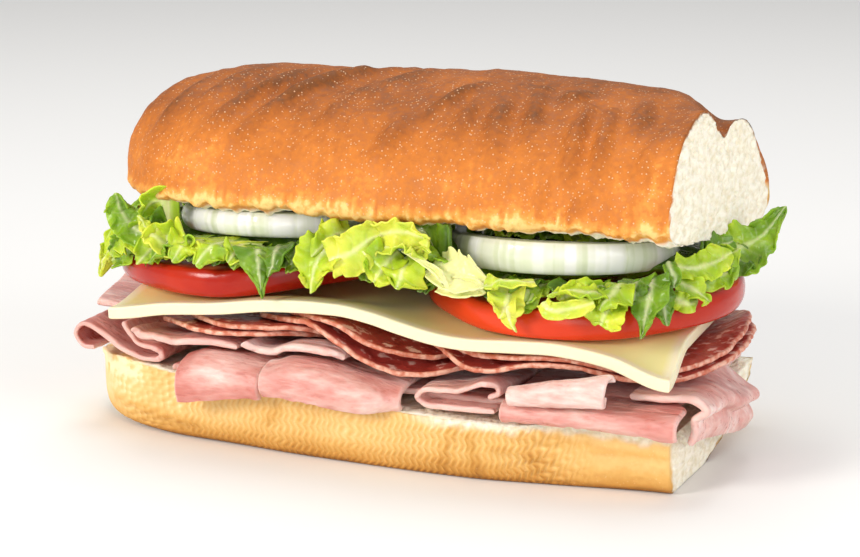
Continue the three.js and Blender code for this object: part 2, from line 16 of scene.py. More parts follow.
import bpy
import numpy as np
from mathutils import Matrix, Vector

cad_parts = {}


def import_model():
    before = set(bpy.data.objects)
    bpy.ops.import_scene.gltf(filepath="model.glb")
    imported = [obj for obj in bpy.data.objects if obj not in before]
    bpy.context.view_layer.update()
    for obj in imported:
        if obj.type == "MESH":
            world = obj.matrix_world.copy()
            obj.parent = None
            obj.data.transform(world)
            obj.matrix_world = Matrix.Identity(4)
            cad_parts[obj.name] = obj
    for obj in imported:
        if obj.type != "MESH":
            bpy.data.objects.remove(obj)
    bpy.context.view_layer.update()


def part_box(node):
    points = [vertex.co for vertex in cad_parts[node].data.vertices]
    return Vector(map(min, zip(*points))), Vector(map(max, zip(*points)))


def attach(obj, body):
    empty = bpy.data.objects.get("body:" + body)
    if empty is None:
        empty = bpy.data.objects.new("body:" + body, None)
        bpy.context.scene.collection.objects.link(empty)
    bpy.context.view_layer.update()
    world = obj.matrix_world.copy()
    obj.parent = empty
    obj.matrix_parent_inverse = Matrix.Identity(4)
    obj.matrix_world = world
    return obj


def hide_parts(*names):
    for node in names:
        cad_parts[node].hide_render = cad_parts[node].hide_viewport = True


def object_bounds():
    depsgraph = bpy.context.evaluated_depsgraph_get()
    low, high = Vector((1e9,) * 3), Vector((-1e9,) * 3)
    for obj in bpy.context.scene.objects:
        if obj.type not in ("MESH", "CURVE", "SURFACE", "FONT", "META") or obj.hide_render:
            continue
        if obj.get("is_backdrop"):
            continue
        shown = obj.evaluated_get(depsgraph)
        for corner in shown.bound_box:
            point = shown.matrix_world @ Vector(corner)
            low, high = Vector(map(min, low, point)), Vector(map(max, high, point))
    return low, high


log = logging.getLogger("sandwich")

Array = np.ndarray
Pairs = Sequence[tuple[float, float]]

MM = 0.001

# The roll, in millimetres
CUT_X = 76.0
HEEL_X = -78.3
TOP_HEEL_X = -69.3
HEEL_LENGTH = 36.0
CHEESE_BACK = 38.0

# Thickness of each filling, in millimetres
HAM = 1.7
HAM_LOOP = 1.3
SALAMI = 1.15
CHEESE = 2.9
TOMATO = 6.4
LEAF = 0.45

# The photograph's camera, round a point in the loaf's axes
CAMERA_TARGET = (5.8, 0.0, 36.1)
CAMERA_DISTANCE = 600.0
CAMERA_AZIMUTH = 22.3
CAMERA_ELEVATION = 12.4
CAMERA_LENS = 105.7
SENSOR_WIDTH = 36.0

# How far the floor lies below the base, in metres
FLOOR_DROP = 0.0002


def through(pairs: Pairs, x: Array) -> Array:
    """Value at x that runs smoothly through the pairs and stays level past both ends.

    Between two pairs it is the cubic whose slope at each inner pair is that of the line between its
    two neighbours, and 0 at the first and last.

    Args:
        pairs: (place, value) in rising order of place.
        x: places to read.

    Returns:
        The values, shaped like x.
    """
    at, value = np.array(pairs, float).T
    slope = np.zeros_like(value)
    slope[1:-1] = (value[2:] - value[:-2]) / (at[2:] - at[:-2])
    x = np.clip(np.asarray(x, float), at[0], at[-1])
    i = np.clip(np.searchsorted(at, x, side="right") - 1, 0, len(at) - 2)
    span = at[i + 1] - at[i]
    t = (x - at[i]) / span
    rise = t * t * (3 - 2 * t)
    lead = t * (1 - t) ** 2 * slope[i]
    tail = t * t * (t - 1) * slope[i + 1]
    return value[i] * (1 - rise) + value[i + 1] * rise + span * (lead + tail)


def smooth(a: float, b: float, x: Array) -> Array:
    """0 at a and 1 at b with a soft start and end; a may be the larger one."""
    t = np.clip((np.asarray(x, float) - a) / (b - a), 0, 1)
    return t * t * (3 - 2 * t)


def mix(a: Array, b: Array, t: Array) -> Array:
    """The straight blend from a at t = 0 to b at t = 1."""
    return a + (b - a) * t


def noise(points: Array, size: float | Sequence[float], seed: int) -> Array:
    """Smooth random value between -1 and 1 at each point.

    Each corner of a grid of cells of that size holds a hashed value, and a point takes the blend of
    its cell's eight corners with weights t*t*(3 - 2t) along each axis.

    Args:
        points: places, shaped (..., 3).
        size: cell size in the points' unit, one number or one for each axis.
        seed: chooses the pattern.

    Returns:
        The values, shaped like the points without their last axis.
    """
    scaled = points / np.asarray(size, float) + seed * 17.31
    cell = np.floor(scaled).astype(np.int64)
    t = scaled - cell
    t = t * t * (3 - 2 * t)
    total = np.zeros(points.shape[:-1])
    for corner in np.ndindex(2, 2, 2):
        place = cell + np.array(corner)
        mixed = place[..., 0] * 374761393 + place[..., 1] * 668265263 + place[..., 2] * 2147483647
        mixed = (mixed ^ (mixed >> 13)) * 1274126177 + seed * 97531
        value = ((mixed ^ (mixed >> 16)) & 0xFFFF) / 32767.5 - 1
        total += value * np.prod(np.where(corner, t, 1 - t), axis=-1)
    return total


def cloud(points: Array, size: float | Sequence[float], seed: int, octaves: int = 3) -> Array:
    """Noise of several sizes: each next one is half as large and half as strong."""
    base = np.asarray(size, float)
    return sum(noise(points, base / 2**k, seed + k) / 2**k for k in range(octaves))


def spline(knots: Array, t: Array) -> Array:
    """Points on the centripetal Catmull-Rom curves through the knots.

    Each stretch is the cubic between two knots whose end slopes follow from the four nearest knots
    and the square roots of their distances. Beyond an end the last step is mirrored.

    Args:
        knots: shaped (..., n, 3), one curve for each leading index.
        t: places along every curve, 0 at its first knot and 1 at its last.

    Returns:
        Points shaped (..., len(t), 3).
    """
    first = 2 * knots[..., :1, :] - knots[..., 1:2, :]
    last = 2 * knots[..., -1:, :] - knots[..., -2:-1, :]
    wide = np.concatenate([first, knots, last], axis=-2)
    place = np.clip(np.asarray(t, float), 0, 1) * (knots.shape[-2] - 1)
    i = np.minimum(place.astype(int), knots.shape[-2] - 2)
    s = (place - i)[:, None]
    p0, p1, p2, p3 = (wide[..., i + k, :] for k in range(4))
    d0, d1, d2 = (
        np.sqrt(np.maximum(np.linalg.norm(b - a, axis=-1, keepdims=True), 1e-6))
        for a, b in ((p0, p1), (p1, p2), (p2, p3))
    )
    m1 = ((p1 - p0) / d0 - (p2 - p0) / (d0 + d1) + (p2 - p1) / d1) * d1
    m2 = ((p2 - p1) / d1 - (p3 - p1) / (d1 + d2) + (p3 - p2) / d2) * d1
    curve = p1 + m1 * s + (-3 * p1 + 3 * p2 - 2 * m1 - m2) * s**2
    return curve + (2 * p1 - 2 * p2 + m1 + m2) * s**3


def stacked(*parts: Array | float) -> Array:
    """The parts, stretched to one shape, as the last axis of one array."""
    return np.stack(np.broadcast_arrays(*parts), axis=-1)


def unit(vectors: Array) -> Array:
    """The vectors at length 1."""
    return vectors / np.maximum(np.linalg.norm(vectors, axis=-1, keepdims=True), 1e-9)


def grid_normals(grid: Array, round_v: bool = False) -> Array:
    """Unit normals of a grid of points: its step along the first axis crossed with that along the second.

    Args:
        grid: points shaped (nu, nv, 3).
        round_v: whether the second axis closes on itself.

    Returns:
        Normals shaped like the grid.
    """
    du = np.gradient(grid, axis=0)
    dv = np.roll(grid, -1, axis=1) - np.roll(grid, 1, axis=1) if round_v else np.gradient(grid, axis=1)
    return unit(np.cross(du, dv))


def grid_quads(nu: int, nv: int, round_v: bool = False) -> Array:
    """Corner numbers of the four-sided faces of a grid whose point (i, j) has number i * nv + j."""
    i, j = np.meshgrid(np.arange(nu - 1), np.arange(nv if round_v else nv - 1), indexing="ij")
    k = (j + 1) % nv
    return np.stack([i * nv + j, (i + 1) * nv + j, (i + 1) * nv + k, i * nv + k], axis=-1).reshape(-1, 4)


@dataclass
class Skin:
    """A closed surface in the loaf's axes: points, faces and a value for each point under each name."""

    points: Array
    quads: Array
    triangles: Array = field(default_factory=lambda: np.zeros((0, 3), int))
    values: dict[str, Array] = field(default_factory=dict)

    def facing_out(self) -> Skin:
        """The same surface with its faces turned out, judged by the sign of its volume."""
        whole = np.concatenate([self.quads[:, :3], self.quads[:, [0, 2, 3]], self.triangles])
        a, b, c = (self.points[whole[:, k]] for k in range(3))
        if np.einsum("ij,ij->", a, np.cross(b, c)) > 0:
            return self
        return Skin(self.points, self.quads[:, ::-1], self.triangles[:, ::-1], self.values)

    @classmethod
    def capped(
        cls, rows: Array, values: dict[str, Array], first: Array, last: Array,
        ends: dict[str, Sequence[float]],
    ) -> Skin:
        """Rows that are closed rings as a closed surface, with a point added at each end.

        Args:
            rows: points shaped (n, m, 3).
            values: named values shaped (n, m).
            first: the point that closes the first row.
            last: the point that closes the last row.
            ends: each value at those two points.

        Returns:
            The surface with its faces turned out.
        """
        n, m = rows.shape[:2]
        j = np.arange(m)
        k = (j + 1) % m
        fans = [
            np.stack([np.full(m, n * m), j, k], axis=-1),
            np.stack([np.full(m, n * m + 1), (n - 1) * m + k, (n - 1) * m + j], axis=-1),
        ]
        points = np.concatenate([rows.reshape(-1, 3), first[None], last[None]])
        flat = {name: np.concatenate([value.reshape(-1), ends[name]]) for name, value in values.items()}
        return cls(points, grid_quads(n, m, True), np.concatenate(fans), flat).facing_out()

    @staticmethod
    def joined(skins: Sequence[Skin]) -> Skin:
        """Several surfaces as one, with the values that all of them have."""
        starts = np.cumsum([0] + [len(s.points) for s in skins[:-1]])
        names = set.intersection(*(set(s.values) for s in skins))
        return Skin(
            np.concatenate([s.points for s in skins]),
            np.concatenate([s.quads + k for s, k in zip(skins, starts)]),
            np.concatenate([s.triangles + k for s, k in zip(skins, starts)]),
            {name: np.concatenate([s.values[name] for s in skins]) for name in sorted(names)},
        )


def edge_steps(count: int, border: float) -> Array:
    """Places from 0 to 1: even in the middle, with four more rows at each border for a round rim."""
    ramp = border * np.array([0.0, 0.12, 0.45, 1.0])
    inner = np.linspace(1.5 * border, 1 - 1.5 * border, count)
    return np.concatenate([ramp, inner, 1 - ramp[::-1]])


def slab(
    surface: Callable[[Array, Array], Array],
    thickness: float,
    counts: tuple[int, int],
    lengths: tuple[float, float],
    relief: Callable[[Array, float], Array] | None = None,
    paint: Callable[[Array, Array, Array, float], dict[str, Array]] | None = None,
    corner: float | None = None,
) -> Skin:
    """A sheet of even thickness round surface(u, v) with rounded rims.

    Both faces lie half the thickness from the middle surface along its normals. Within the corner's
    radius of a border they close in as a quarter circle, and an upright wall joins them.

    Args:
        surface: middle surface as a function of u and v from 0 to 1, giving points in millimetres.
        thickness: in millimetres.
        counts: number of even rows along u and v.
        lengths: rough length along u and v in millimetres, which sets how wide the rim's rows are.
        relief: height above the face at each point; it takes the points and the side, 1 or -1.
        paint: values at each point; it takes points, u, v and the side.
        corner: radius of the rim's corners in millimetres; without one the rim is nearly a half circle.

    Returns:
        The closed sheet with the value "edge", 1 on the rim and 0 inside.
    """
    half = thickness / 2
    radius = 0.88 * half if corner is None else corner
    borders = [min(radius / length, 0.2) for length in lengths]
    u, v = np.meshgrid(edge_steps(counts[0], borders[0]), edge_steps(counts[1], borders[1]), indexing="ij")
    middle = surface(u, v)
    normal = grid_normals(middle)
    inside_u = np.clip(np.minimum(u, 1 - u) / borders[0], 0, 1)
    inside_v = np.clip(np.minimum(v, 1 - v) / borders[1], 0, 1)
    roundness = np.sqrt(1 - (1 - np.minimum(inside_u, inside_v)) ** 2)
    reach = half - radius + radius * roundness
    rim_u = np.clip(np.minimum(u, 1 - u) * lengths[0] / (1.6 * thickness), 0, 1)
    rim_v = np.clip(np.minimum(v, 1 - v) * lengths[1] / (1.6 * thickness), 0, 1)
    edge = 1 - np.minimum(rim_u, rim_v)
    nu, nv = u.shape
    skins = []
    for side in (1.0, -1.0):
        face = middle + normal * (reach * side)[..., None]
        if relief is not None:
            face = face + normal * (relief(face, side) * roundness * side)[..., None]
        values = {"edge": edge}
        if paint is not None:
            values.update(paint(face, u, v, side))
        flat = {name: np.broadcast_to(value, (nu, nv)).reshape(-1) for name, value in values.items()}
        quads = grid_quads(nu, nv)
        skins.append(Skin(face.reshape(-1, 3), quads if side > 0 else quads[:, ::-1], values=flat))
    whole = Skin.joined(skins)
    rows = np.arange(nu)
    columns = np.arange(nv)
    rim = np.concatenate([
        rows[:-1] * nv, (nu - 1) * nv + columns[:-1], rows[:0:-1] * nv + nv - 1, columns[:0:-1],
    ])
    n = nu * nv
    count = len(rim)
    upper, lower = whole.points[rim], whole.points[rim + n]
    walls = [mix(upper, lower, share) for share in (0.12, 0.88)]
    whole.points = np.concatenate([whole.points, *walls])
    whole.values = {name: np.concatenate([v, v[rim], v[rim]]) for name, v in whole.values.items()}
    rings = [rim, 2 * n + np.arange(count), 2 * n + count + np.arange(count), rim + n]
    strips = [
        np.stack([a, b, np.roll(b, -1), np.roll(a, -1)], axis=-1) for a, b in zip(rings, rings[1:])
    ]
    whole.quads = np.concatenate([whole.quads, *strips])
    return whole.facing_out()


@dataclass(frozen=True)
class Place:
    """Where the origin of the loaf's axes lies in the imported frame, in millimetres."""

    x: float
    y: float

    @classmethod
    def from_frame(cls) -> Place:
        """The place read from the heel's tip and the cheese's back edge."""
        heel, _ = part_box("bun_bottom")
        _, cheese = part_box("cheese")
        return cls(heel.x / MM - HEEL_X, cheese.y / MM - CHEESE_BACK)

    def to_frame(self, points: Array) -> Array:
        """Points in the loaf's axes in millimetres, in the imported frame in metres."""
        return (np.asarray(points, float) + (self.x, self.y, 0.0)) * MM


def linked(name: str, data: bpy.types.ID) -> bpy.types.Object:
    """A new object with that data, in the scene."""
    made = bpy.data.objects.new(name, data)
    bpy.context.scene.collection.objects.link(made)
    return made


def aim(seen: bpy.types.Object, direction: Vector) -> None:
    """Turns a camera or lamp to look along the direction."""
    seen.rotation_mode = "QUATERNION"
    seen.rotation_quaternion = direction.to_track_quat("-Z", "Y")


@dataclass
class Bench:
    """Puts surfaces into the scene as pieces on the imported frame."""

    place: Place

    def piece(
        self, name: str, skin: Skin, material: bpy.types.Material, node: str
    ) -> bpy.types.Object:
        """Makes the surface a piece that rides on the only body.

        Args:
            name: the piece's name.
            skin: its surface in the loaf's axes.
            material: its finish.
            node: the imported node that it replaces.

        Returns:
            The new object, at the origin.
        """
        mesh = bpy.data.meshes.new(name)
        mesh.vertices.add(len(skin.points))
        mesh.vertices.foreach_set("co", self.place.to_frame(skin.points).astype(np.float32).ravel())
        corners = np.concatenate([skin.quads.ravel(), skin.triangles.ravel()]).astype(np.int32)
        sizes = np.concatenate([np.full(len(skin.quads), 4), np.full(len(skin.triangles), 3)])
        mesh.loops.add(len(corners))
        mesh.loops.foreach_set("vertex_index", corners)
        mesh.polygons.add(len(sizes))
        mesh.polygons.foreach_set("loop_start", (np.cumsum(sizes) - sizes).astype(np.int32))
        mesh.polygons.foreach_set("use_smooth", np.ones(len(sizes), bool))
        mesh.update(calc_edges=True)
        mesh.validate()
        for value_name, values in skin.values.items():
            layer = mesh.attributes.new(value_name, "FLOAT", "POINT")
            layer.data.foreach_set("value", values.astype(np.float32))
        mesh.materials.append(material)
        made = linked(name, mesh)
        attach(made, "root")
        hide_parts(node)
        triangles = 2 * len(skin.quads) + len(skin.triangles)
        log.info("%s: %d points, %d triangles, %s", name, len(skin.points), triangles, material.name)
        return made


def linear(colour: str) -> tuple[float, float, float, float]:
    """An sRGB hex colour such as "#E8DF9A" as linear red, green, blue and alpha."""
    channels = [int(colour[k : k + 2], 16) / 255 for k in (1, 3, 5)]
    red, green, blue = (c / 12.92 if c <= 0.04045 else ((c + 0.055) / 1.055) ** 2.4 for c in channels)
    return red, green, blue, 1.0


class Shading:
    """A new material's node tree: one Principled shader and the nodes that a finish adds to it."""

    def __init__(self, name: str, fixed: dict[str, object]) -> None:
        """Starts the material.

        Args:
            name: the material's name.
            fixed: the shader's fixed values, by the names of its inputs.
        """
        self.material = bpy.data.materials.new(name)
        self.material.use_nodes = True
        self.tree = self.material.node_tree
        self.tree.nodes.clear()
        self.shader = self.node("ShaderNodeBsdfPrincipled", fixed)
        self.node("ShaderNodeOutputMaterial", {"Surface": self.shader.outputs[0]})
        self.place = self.node("ShaderNodeTexCoord").outputs["Object"]

    def node(self, kind: str, inputs: dict | None = None, **settings: object) -> bpy.types.Node:
        """Adds a shader node with its settings and links.

        Args:
            kind: the node's class name.
            inputs: for each input's name or number, a value or the output socket that feeds it.
            settings: the node's own properties; stops is a colour ramp's list of (place, hex colour).

        Returns:
            The new node.
        """
        made = self.tree.nodes.new(kind)
        for name, value in settings.items():
            if name == "stops":
                while len(made.color_ramp.elements) < len(value):
                    made.color_ramp.elements.new(0.5)
                for element, (position, colour) in zip(made.color_ramp.elements, value):
                    element.position = position
                    element.color = linear(colour)
            else:
                setattr(made, name, value)
        for name, value in (inputs or {}).items():
            if isinstance(value, bpy.types.NodeSocket):
                self.tree.links.new(value, made.inputs[name])
            else:
                made.inputs[name].default_value = value
        return made

    def feed(self, name: str, value: bpy.types.NodeSocket) -> None:
        """Links the value to the shader's input of that name."""
        self.tree.links.new(value, self.shader.inputs[name])

    def value(self, name: str) -> bpy.types.NodeSocket:
        """The piece's own value of that name at each point."""
        return self.node("ShaderNodeAttribute", attribute_name=name).outputs["Fac"]

    def grain(
        self, size_mm: float, detail: float = 2.0, stretch: tuple[float, float, float] = (1.0, 1.0, 1.0)
    ) -> bpy.types.NodeSocket:
        """Cloudy noise from 0 to 1, its lumps about size_mm across and longer where stretch is below 1."""
        spread = self.node("ShaderNodeVectorMath", {0: self.place, 1: stretch}, operation="MULTIPLY")
        return self.node("ShaderNodeTexNoise", {
            "Vector": spread.outputs[0], "Scale": 0.5 / (size_mm * MM), "Detail": detail,
        }).outputs["Fac"]

    def ranged(
        self, value: bpy.types.NodeSocket, low: float, high: float, to: tuple[float, float]
    ) -> bpy.types.NodeSocket:
        """The value mapped from low..high to the two ends of to, held at both ends."""
        return self.node("ShaderNodeMapRange", {
            "Value": value, "From Min": low, "From Max": high, "To Min": to[0], "To Max": to[1],
        }).outputs["Result"]

    def shifted(
        self, base: bpy.types.NodeSocket, value: bpy.types.NodeSocket, low: float, high: float,
        to: tuple[float, float], clamp: bool = False,
    ) -> bpy.types.NodeSocket:
        """The base plus the ranged value, held between 0 and 1 where clamp is set."""
        shift = self.ranged(value, low, high, to)
        return self.node("ShaderNodeMath", {0: base, 1: shift}, use_clamp=clamp).outputs[0]

    def ramp(
        self, value: bpy.types.NodeSocket, stops: Sequence[tuple[float, str]]
    ) -> bpy.types.NodeSocket:
        """The colour at that value between the stops, each a place from 0 to 1 and its hex colour."""
        return self.node("ShaderNodeValToRGB", {"Fac": value}, stops=stops).outputs[0]

    def blend(
        self,
        share: bpy.types.NodeSocket | float,
        a: bpy.types.NodeSocket | str,
        b: bpy.types.NodeSocket | str,
    ) -> bpy.types.NodeSocket:
        """Colour a where share is 0 and b where it is 1; each is a socket or a hex colour."""
        ends = [linear(c) if isinstance(c, str) else c for c in (a, b)]
        inputs = {0: share, 6: ends[0], 7: ends[1]}
        return self.node("ShaderNodeMix", inputs, data_type="RGBA").outputs[2]

    def bump(self, layers: Sequence[tuple[bpy.types.NodeSocket, float]]) -> None:
        """Chains bumps on the shader's normal; each layer is a height from 0 to 1 and its millimetres."""
        normal = None
        for height, depth_mm in layers:
            inputs = {"Height": height, "Distance": depth_mm * MM, "Strength": 1.0}
            if normal is not None:
                inputs["Normal"] = normal
            normal = self.node("ShaderNodeBump", inputs).outputs[0]
        self.feed("Normal", normal)


@dataclass(frozen=True)
class Finish:
    """What every finish shares: one Principled shader with its fixed values."""

    name: str = "finish"
    roughness: float = 0.5
    ior: float = 1.4
    subsurface: float = 0.0
    scatter_mm: tuple[float, float, float] = (1.0, 0.5, 0.3)
    coat: float = 0.0
    coat_roughness: float = 0.15

    def start(self) -> Shading:
        """The new material with the fixed values in place."""
        return Shading(self.name, {
            "Roughness": self.roughness,
            "IOR": self.ior,
            "Subsurface Weight": self.subsurface,
            "Subsurface Radius": self.scatter_mm,
            "Subsurface Scale": MM,
            "Coat Weight": self.coat,
            "Coat Roughness": self.coat_roughness,
        })


@dataclass(frozen=True)
class Bread(Finish):
    """Baked wheat bread: a satin crust from pale yellow to brown, and a matt, finely pored crumb whose pores
    are painted darker as shade.

    The crust's ramp follows the piece's value "bake", the browning with painted shade and painted highlight
    in it, and "crust" is 1 on the crust and 0 on crumb.
    Pale blisters under a millimetre wide give the crust its sparkle.
    """

    crust_stops: tuple[tuple[float, str], ...] = (
        (0.0, "#F0C67A"), (0.12, "#E29C45"), (0.32, "#CE7829"), (0.58, "#B5651F"), (0.82, "#97521A"),
        (1.0, "#75400F"),
    )
    crumb_light: str = "#FAF3E0"
    # Painted shade in the crumb's pores
    crumb_pore_shade: str = "#E6DABC"
    crumb_stain: str = "#EBDCAC"
    speckle: str = "#F7CDA2"
    speckle_amount: float = 0.75
    mottle: float = 0.09

    def material(self) -> bpy.types.Material:
        """The finished bread material."""
        shading = self.start()
        bake = shading.value("bake")
        crust = shading.value("crust")
        patch = shading.grain(6.0, 3.0)
        fine = shading.grain(0.7, 2.0)
        mottled = shading.shifted(bake, patch, 0.3, 0.7, (-self.mottle, self.mottle))
        mottled = shading.shifted(mottled, fine, 0.3, 0.7, (-self.mottle, self.mottle))
        brown = shading.ramp(mottled, self.crust_stops)
        blister = shading.node("ShaderNodeTexVoronoi", {
            "Vector": shading.place, "Scale": 1 / (0.85 * MM), "Randomness": 1.0,
        })
        dot = shading.ranged(blister.outputs["Distance"], 0.13, 0.27, (1.0, 0.0))
        chosen = shading.ranged(blister.outputs["Color"], 0.25, 0.75, (0.0, self.speckle_amount))
        dots = shading.node("ShaderNodeMath", {0: dot, 1: chosen}, operation="MULTIPLY").outputs[0]
        speckled = shading.blend(dots, brown, self.speckle)
        pore = shading.grain(0.75, 2.0, (1.0, 0.5, 1.0))
        stain = shading.grain(6.0, 2.0)
        # The crumb is painted darker in its pores: painted shade.
        depth = shading.ranged(pore, 0.3, 0.6, (1.0, 0.0))
        crumb = shading.blend(depth, self.crumb_light, self.crumb_pore_shade)
        crumb = shading.blend(shading.ranged(stain, 0.55, 0.8, (0.0, 0.35)), crumb, self.crumb_stain)
        shading.feed("Base Color", shading.blend(crust, crumb, speckled))
        satin = shading.ranged(fine, 0.35, 0.65, (0.78, 0.56))
        matt = shading.node("ShaderNodeMix", {0: crust, 2: 0.85, 3: satin}, data_type="FLOAT").outputs[0]
        shading.feed("Roughness", matt)
        depth = shading.node("ShaderNodeMath", {
            0: pore, 1: shading.ranged(crust, 0.0, 1.0, (1.0, 0.08)),
        }, operation="MULTIPLY").outputs[0]
        shading.bump([(depth, 0.8), (dots, 0.12), (fine, 0.16)])
        return shading.material


@dataclass(frozen=True)
class CuredHam(Finish):
    """Cooked ham, sliced: moist pink muscle with paler streaks, and a pale matt cut edge."""

    stops: tuple[tuple[float, str], ...] = (
        (0.0, "#B65B4E"), (0.3, "#C97B70"), (0.55, "#D89A90"), (0.8, "#E6BBB1"), (1.0, "#F2D8D0"),
    )
    rim: str = "#EAC6BC"

    def material(self) -> bpy.types.Material:
        """The finished ham material."""
        shading = self.start()
        edge = shading.value("edge")
        tone = shading.value("tone")
        broad = shading.grain(11.0, 3.0)
        streak = shading.grain(2.2, 3.0, (0.35, 1.0, 1.0))
        fibre = shading.grain(0.7, 5.0, (0.35, 1.0, 1.0))
        shade = shading.shifted(tone, broad, 0.3, 0.7, (-0.2, 0.24))
        shade = shading.shifted(shade, streak, 0.35, 0.7, (-0.14, 0.22))
        shade = shading.shifted(shade, fibre, 0.3, 0.7, (-0.12, 0.12))
        pink = shading.ramp(shade, self.stops)
        rim = shading.ranged(edge, 0.72, 0.95, (0.0, 0.6))
        shading.feed("Base Color", shading.blend(rim, pink, self.rim))
        shading.feed("Roughness", shading.ranged(fibre, 0.3, 0.7, (0.22, 0.6)))
        shading.bump([(streak, 0.7), (fibre, 0.5)])
        return shading.material


@dataclass(frozen=True)
class CuredSalami(Finish):
    """Salami, sliced: dark red meat marbled with pale fat, with a tan cut edge whose glisten is painted on as
    pale flecks: painted highlight.
    """

    lean_dark: str = "#9C352B"
    lean_light: str = "#C45348"
    fat: str = "#EFC8B8"
    rim: str = "#C87458"
    rim_glint: str = "#ECBBA2"

    def material(self) -> bpy.types.Material:
        """The finished salami material."""
        shading = self.start()
        edge = shading.value("edge")
        broad = shading.ranged(shading.grain(3.0, 3.0), 0.35, 0.65, (0.0, 1.0))
        lean = shading.blend(broad, self.lean_dark, self.lean_light)
        grit = shading.grain(1.5, 4.0)
        marbled = shading.blend(shading.ranged(grit, 0.56, 0.64, (0.0, 0.85)), lean, self.fat)
        # Pale flecks on the tan rim: painted highlight for its wet glisten.
        fine = shading.ranged(shading.grain(0.9, 2.0), 0.4, 0.62, (0.0, 1.0))
        tan = shading.blend(fine, self.rim, self.rim_glint)
        rim = shading.ranged(edge, 0.5, 0.85, (0.0, 0.85))
        shading.feed("Base Color", shading.blend(rim, marbled, tan))
        shading.feed("Roughness", shading.ranged(grit, 0.3, 0.7, (0.28, 0.5)))
        shading.bump([(grit, 0.35), (shading.grain(0.6, 2.0), 0.15)])
        return shading.material


@dataclass(frozen=True)
class MildCheese(Finish):
    """Mild sliced cheese: smooth, waxy and pale yellow, whiter at its cut edge."""

    face: str = "#ECE5A2"
    face_deep: str = "#E8D992"
    cut: str = "#EEE4C0"

    def material(self) -> bpy.types.Material:
        """The finished cheese material."""
        shading = self.start()
        edge = shading.value("edge")
        soft = shading.grain(14.0, 2.0)
        face = shading.blend(shading.ranged(soft, 0.3, 0.7, (0.0, 1.0)), self.face, self.face_deep)
        whole = shading.blend(shading.ranged(edge, 0.3, 0.7, (0.0, 1.0)), face, self.cut)
        shading.feed("Base Color", whole)
        shading.bump([(shading.grain(4.0, 3.0), 0.12)])
        return shading.material


@dataclass(frozen=True)
class RipeTomato(Finish):
    """A ripe tomato, sliced: taut glossy red skin and wet orange red flesh with pale fibres.

    "skin" is 1 on the skin, "gel" is 1 in the seed chambers and "fibre" follows the radial fibres;
    "warm" turns the skin from deep red to orange red.
    """

    skin_colour: str = "#980D09"
    warm_colour: str = "#E0431C"
    flesh: str = "#E8432A"
    chamber: str = "#D95A2B"
    pale: str = "#F2935E"

    def material(self) -> bpy.types.Material:
        """The finished tomato material."""
        shading = self.start()
        skin = shading.value("skin")
        gel = shading.value("gel")
        fibre = shading.value("fibre")
        flesh = shading.blend(fibre, self.flesh, self.pale)
        flesh = shading.blend(gel, flesh, self.chamber)
        patch = shading.grain(5.0, 2.0)
        warm = shading.shifted(shading.value("warm"), patch, 0.3, 0.7, (-0.12, 0.12), clamp=True)
        red = shading.blend(warm, self.skin_colour, self.warm_colour)
        shading.feed("Base Color", shading.blend(skin, flesh, red))
        wet = shading.node("ShaderNodeMix", {0: skin, 2: 0.25, 3: 0.2}, data_type="FLOAT").outputs[0]
        shading.feed("Roughness", wet)
        shading.bump([(shading.grain(1.6, 3.0), 0.1)])
        return shading.material


@dataclass(frozen=True)
class WhiteOnion(Finish):
    """A raw white onion's ring: wet, translucent layers with pale green lines across its wall."""

    white: str = "#F6F7EE"
    line: str = "#D3DBBC"
    between: str = "#DDE3BE"

    def material(self) -> bpy.types.Material:
        """The finished onion material."""
        shading = self.start()
        stripe = shading.value("stripe")
        layer = shading.value("layer")
        body = shading.blend(stripe, self.white, self.line)
        body = shading.blend(layer, body, self.between)
        shading.feed("Base Color", body)
        shading.bump([(shading.grain(0.9, 2.0), 0.08)])
        return shading.material


@dataclass(frozen=True)
class FreshLettuce(Finish):
    """Green leaf lettuce: thin, moist and blistered, yellow green in the light parts, with pale ribs."""

    stops: tuple[tuple[float, str], ...] = (
        (0.0, "#3A5A10"), (0.25, "#62861C"), (0.5, "#8CAE28"), (0.75, "#B4CA2C"), (1.0, "#DADF44"),
    )
    rib_colour: str = "#F1F0C4"

    def material(self) -> bpy.types.Material:
        """The finished lettuce material."""
        shading = self.start()
        tone = shading.value("tone")
        rib = shading.value("rib")
        patch = shading.grain(3.5, 3.0)
        green = shading.ramp(shading.shifted(tone, patch, 0.3, 0.7, (-0.16, 0.16)), self.stops)
        shading.feed("Base Color", shading.blend(rib, green, self.rib_colour))
        cells = shading.grain(1.3, 2.0)
        shading.feed("Roughness", shading.ranged(cells, 0.3, 0.7, (0.16, 0.4)))
        shading.bump([(cells, 0.3), (rib, 0.15)])
        return shading.material


